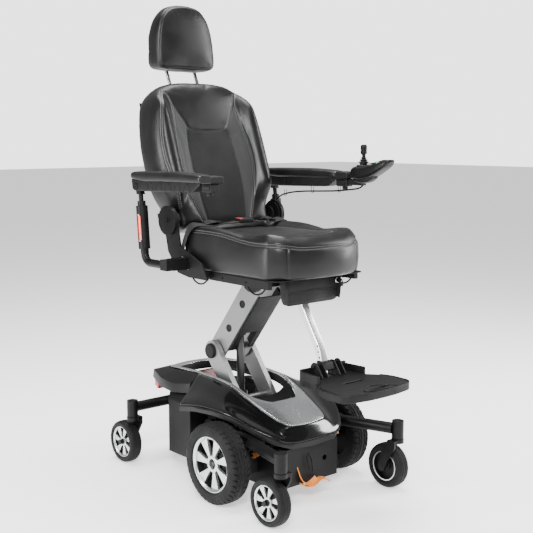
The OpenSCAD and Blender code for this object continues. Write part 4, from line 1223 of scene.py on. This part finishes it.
STRAP_FALL = [(-58, -140, 128), (-56, -150, 104), (-53, -160, 80), (-46, -170, 62), (-28, -176, 53),
              (-8, -178, 57), (6, -178, 66)]
STRAP_LOOP = [(-60, -172, 60), (-40, -178, 50), (-16, -181, 50), (4, -182, 60), (22, -184, 66),
              (40, -186, 60), (48, -187, 51)]
RELEASE_CORD = [(-30, -166, 150), (-27, -170, 128), (-22, -173, 104), (-14, -175, 92), (-8, -172, 100),
                (-10, -168, 130), (-14, -160, 150)]


def build_transit_strap():
    """Orange strap below the front, and a release cord."""
    parts = [webbing(STRAP_FALL, 25, 2.4, (1, -0.35, 0.9)), webbing(STRAP_LOOP, 25, 2.4, (0, 0, 1))]
    add("transit_strap_webbing", *joined(*parts), "base", "webbing_orange", replaces=("transit_strap",),
        sharp=40)
    cord = [mm(*p) for p in spline(RELEASE_CORD, 6)]
    add("release_cord", *sweep(cord, circle(0.0022, 8), up=(0.2, 1, 0.1)), "base", "cable_black")


# ---- footrest ----
TUBE = [(-108, 706), (-108, 655), (-128, 610), (-158, 562), (-188, 516), (-206, 478), (-214, 436)]
SETTING_HOLES = ((-203, 496), (-207, 478), (-198, 514))
PLATE_Y = -340
FOOT_HALF = [(98, -204), (106, -292), (138, -330), (152, -372), (152, -440), (128, -462), (60, -474),
             (0, -476)]


def cut(piece, *cutters):
    """Takes solids of (verts, faces) out of a piece."""
    for verts, faces in cutters:
        mesh = bpy.data.meshes.new("cutter")
        mesh.from_pydata([tuple(v) for v in verts], [], faces)
        work = bmesh.new()
        work.from_mesh(mesh)
        bmesh.ops.recalc_face_normals(work, faces=work.faces)
        work.to_mesh(mesh)
        work.free()
        tool = bpy.data.objects.new("cutter", mesh)
        bpy.context.scene.collection.objects.link(tool)
        modifier = piece.modifiers.new("cut", "BOOLEAN")
        modifier.object = tool
        modifier.operation = "DIFFERENCE"
        modifier.solver = "EXACT"
        bake(piece)
        bpy.data.objects.remove(tool)
    shade_smooth(piece.data)
    piece.data.set_sharp_from_angle(angle=math.radians(35))


def slot_outline(half_x, half_y, y):
    """Long slot with round ends, centred on x = 0."""
    count = 10
    out = []
    for side in (1, -1):
        for k in range(count + 1):
            a = side * math.pi / 2 - math.pi * k / count
            out.append((side * (half_x - half_y) + half_y * math.cos(a), y + half_y * math.sin(a)))
    return out


def shrunk(outline, share):
    """The outline drawn in about the middle of the footplate."""
    return [(x * share, PLATE_Y + (y - PLATE_Y) * share) for x, y in outline]


def build_footrest():
    """Foot tube with its setting holes (near-black discs of painted shade), saddle and pin, and the footplate
    with mat, walls and hand slot.
    """
    path = [mm(0, y, z) for y, z in spline(TUBE, 8)]
    section = [(a * MM, b * MM) for a, b in rounded([(-11, -15), (11, -15), (11, 15), (-11, 15)], 5, 5)]
    add("foot_tube_drawn", *sweep(path, section, up=(1, 0, 0)), "seat", "trim_silver",
        replaces=("foot_tube",), sharp=50)
    # The setting holes are not cut: thin near-black discs on the tube's face are painted shade where the
    # insides of the holes would be.
    hole_shades = [lathe([(0, 0), (3.3, 0), (3.3, 0.5), (0, 0.5)], mm(-15.1, y, z), (-1, 0, 0), 20)
             for y, z in SETTING_HOLES]
    add("foot_tube_hole_shade", *joined(*hole_shades), "seat", "frame_black", material=SEAM)
    saddle = side_prism(rounded([(-246, 441), (-200, 441), (-198, 468), (-232, 468)], 6), -20, 20)
    pin = lathe([(0, -60), (5, -60), (5, 60), (0, 60)], mm(0, -224, 456), (1, 0, 0), 24)
    add("foot_saddle", *joined(saddle, pin), "seat", "frame_black", bevel=0.0015, sharp=40)
    whole = FOOT_HALF + [(-x, y) for x, y in FOOT_HALF[-2::-1]]
    outline = rounded(whole, 16, 5)
    plate = add("footplate_moulded", *flat_prism(outline, 400, 422), "footplate", "plastic_charcoal",
                replaces=("footplate",), sharp=35)
    hand = slot_outline(48, 10, -446)
    tube_gap = flat_prism([(-22, -250), (22, -250), (22, -190), (-22, -190)], 380, 480)
    cut(plate, flat_prism(hand, 380, 440), tube_gap)
    round_edges(plate, 0.0025, 3)
    mat_edge = rounded(shrunk(whole, 0.93), 16, 5)
    mat = add("footplate_mat", *flat_prism(mat_edge, 421, 424.5), "footplate", "plastic_charcoal", sharp=35)
    arc = [(74 * c, -470 + 56 * s) for c, s in circle(1, 48)]
    cut(mat, flat_prism(arc, 410, 440), flat_prism([(-24, -252), (24, -252), (24, -190), (-24, -190)], 380,
                                                   480),
        flat_prism(rounded([(-42, -352), (42, -352), (42, -338), (-42, -338)], 4), 422, 440))
    round_edges(mat, 0.0012)
    parts = [flat_prism(rounded([(x, -214), (x + 74, -214), (x + 74, -204), (x, -204)], 2), 400, 452)
             for x in (-98, 24)]
    for side in (-1, 1):
        wall = rounded([(side * 90, -204), (side * 98, -204), (side * 106, -292), (side * 100, -300),
                        (side * 97, -290)], 2)
        parts.append(flat_prism(wall, 400, 446))
        for x in (24, 48):
            ear = rounded([(-206, 424), (-206, 458), (-216, 470), (-230, 470), (-238, 462), (-264, 424)], 5)
            parts.append(side_prism(ear, side * x, side * (x + 5)))
    add("footplate_walls", *joined(*parts), "footplate", "plastic_charcoal", bevel=0.0016, sharp=40)
    lip = [mm(x, y, 423.2) for x, y in slot_outline(51.5, 13.5, -446)]
    add("footplate_lip", *sweep(lip + lip[:2], circle(0.0026, 8)), "footplate", "plastic_charcoal", sharp=80)
    rim = [mm(x, y, 422.6) for x, y in shrunk(rounded([p for p in whole if p[1] < -300], 14, 5), 0.985)]
    add("footplate_rim", *sweep(rim[2:-2], circle(0.0026, 8)), "footplate", "plastic_charcoal", sharp=80)


# ---- small parts ----
POST_X = 300
KNEE, SEAT_JOINT = Vector((270, 430)), Vector((65, 690))     # ends of the upper arms, in (y, z)
REFLECTOR_LOW, REFLECTOR_HIGH = 822, 922
BRACKET_BOLTS = ((125, 723), (185, 723), (240, 742), (225, 790))


def reflector(side):
    """Curved strip on the outer face of a leaning arm post, tapered at its ends."""
    strip = []
    for z in np.linspace(REFLECTOR_LOW + 4, REFLECTOR_HIGH - 4, 12):
        end = min(1, (z - REFLECTOR_LOW) / 8, (REFLECTOR_HIGH - z) / 8)
        lean = 354 + 16 * (z - 786) / 176
        edge = [(20.9, t * end) for t in np.linspace(-0.62, -0.12, 6)]
        edge += [(19.8, t * end) for t in np.linspace(-0.12, -0.62, 6)]
        strip.append([mm(side * (POST_X + r * math.cos(a)), lean + r * math.sin(a), z) for r, a in edge])
    return rings(strip)


def build_small_parts():
    """Caps, plugs, reflectors, recline discs, bolts and the bands on the caster rims' inner sides."""
    for side, name in SIDES:
        out = (side, 0, 0)
        cap = lathe([(0, 0), (24, 0), (25, 2), (24, 4), (20, 4.2), (19, 3), (0, 3)], mm(side * 91, *KNEE),
                    out, 48)
        add("knee_cap_" + name, *cap, "lower_arm", "plastic_charcoal", sharp=40)
        for number, share in enumerate((0.34, 0.7)):
            place = mm(side * 60, *KNEE.lerp(SEAT_JOINT, share))
            plug = lathe([(0, -6), (11.7, -6), (11.7, 0.6), (13.6, 0.8), (13.2, 2), (10.5, 2), (9.5, 0.4),
                          (0, 0.2)], place, out, 32)
            add("arm_plug_%s_%d" % (name, number), *plug, "upper_arm", "cable_black", sharp=40)
        add("reflector_" + name, *reflector(side), "seat", "lamp_red", material=REFLECTOR, sharp=60)
        disc = lathe([(0, 20), (16, 20), (16, 22.5), (30, 22.5), (31, 21), (46, 21), (48.5, 19.5), (50, 17),
                      (0, 17)], mm(side * 213, *HINGE), out, 64)
        add("recline_disc_" + name, *disc, "seat", "dark_steel", material=MATERIALS["plastic_charcoal"],
            sharp=40)
        centre_bolt = lathe([(0, 20), (7, 20), (7, 25.5), (5.5, 26.5), (0, 26.5)], mm(side * 213, *HINGE),
                            out, 6)
        add("recline_bolt_" + name, *centre_bolt, "seat", "dark_steel", sharp=40)
        bolts = [lathe([(0, 0), (6, 0), (6, 3.4), (4.6, 4.4), (0, 4.4)], mm(side * 219, y, z), out, 6)
                 for y, z in BRACKET_BOLTS]
        add("bracket_bolts_" + name, *joined(*bolts), "seat", "dark_steel", sharp=40)
        for end in ("front", "rear"):
            node = "%s_%s_rim" % (end, name)
            point = wheel_place(node, side)
            ring = ring_part(point, [(47, -19), (50.5, -19), (50.5, -21.5), (47, -21.5)])
            add(node + "_band", *ring, "%s_%s_wheel" % (end, name), "rim_alloy", sharp=40)


make_camera()
make_studio()
for node in NODES:
    finish_cad_node(node, KEPT_BEVELS.get(node, 0.0))
build_wheels()
build_shroud()
build_seat()
build_back()
build_headrest()
for arm_side, arm in SIDES:
    build_armrest(arm, arm_side)
build_joystick()
build_cable()
build_belt()
build_pouch()
build_transit_strap()
build_footrest()
build_small_parts()
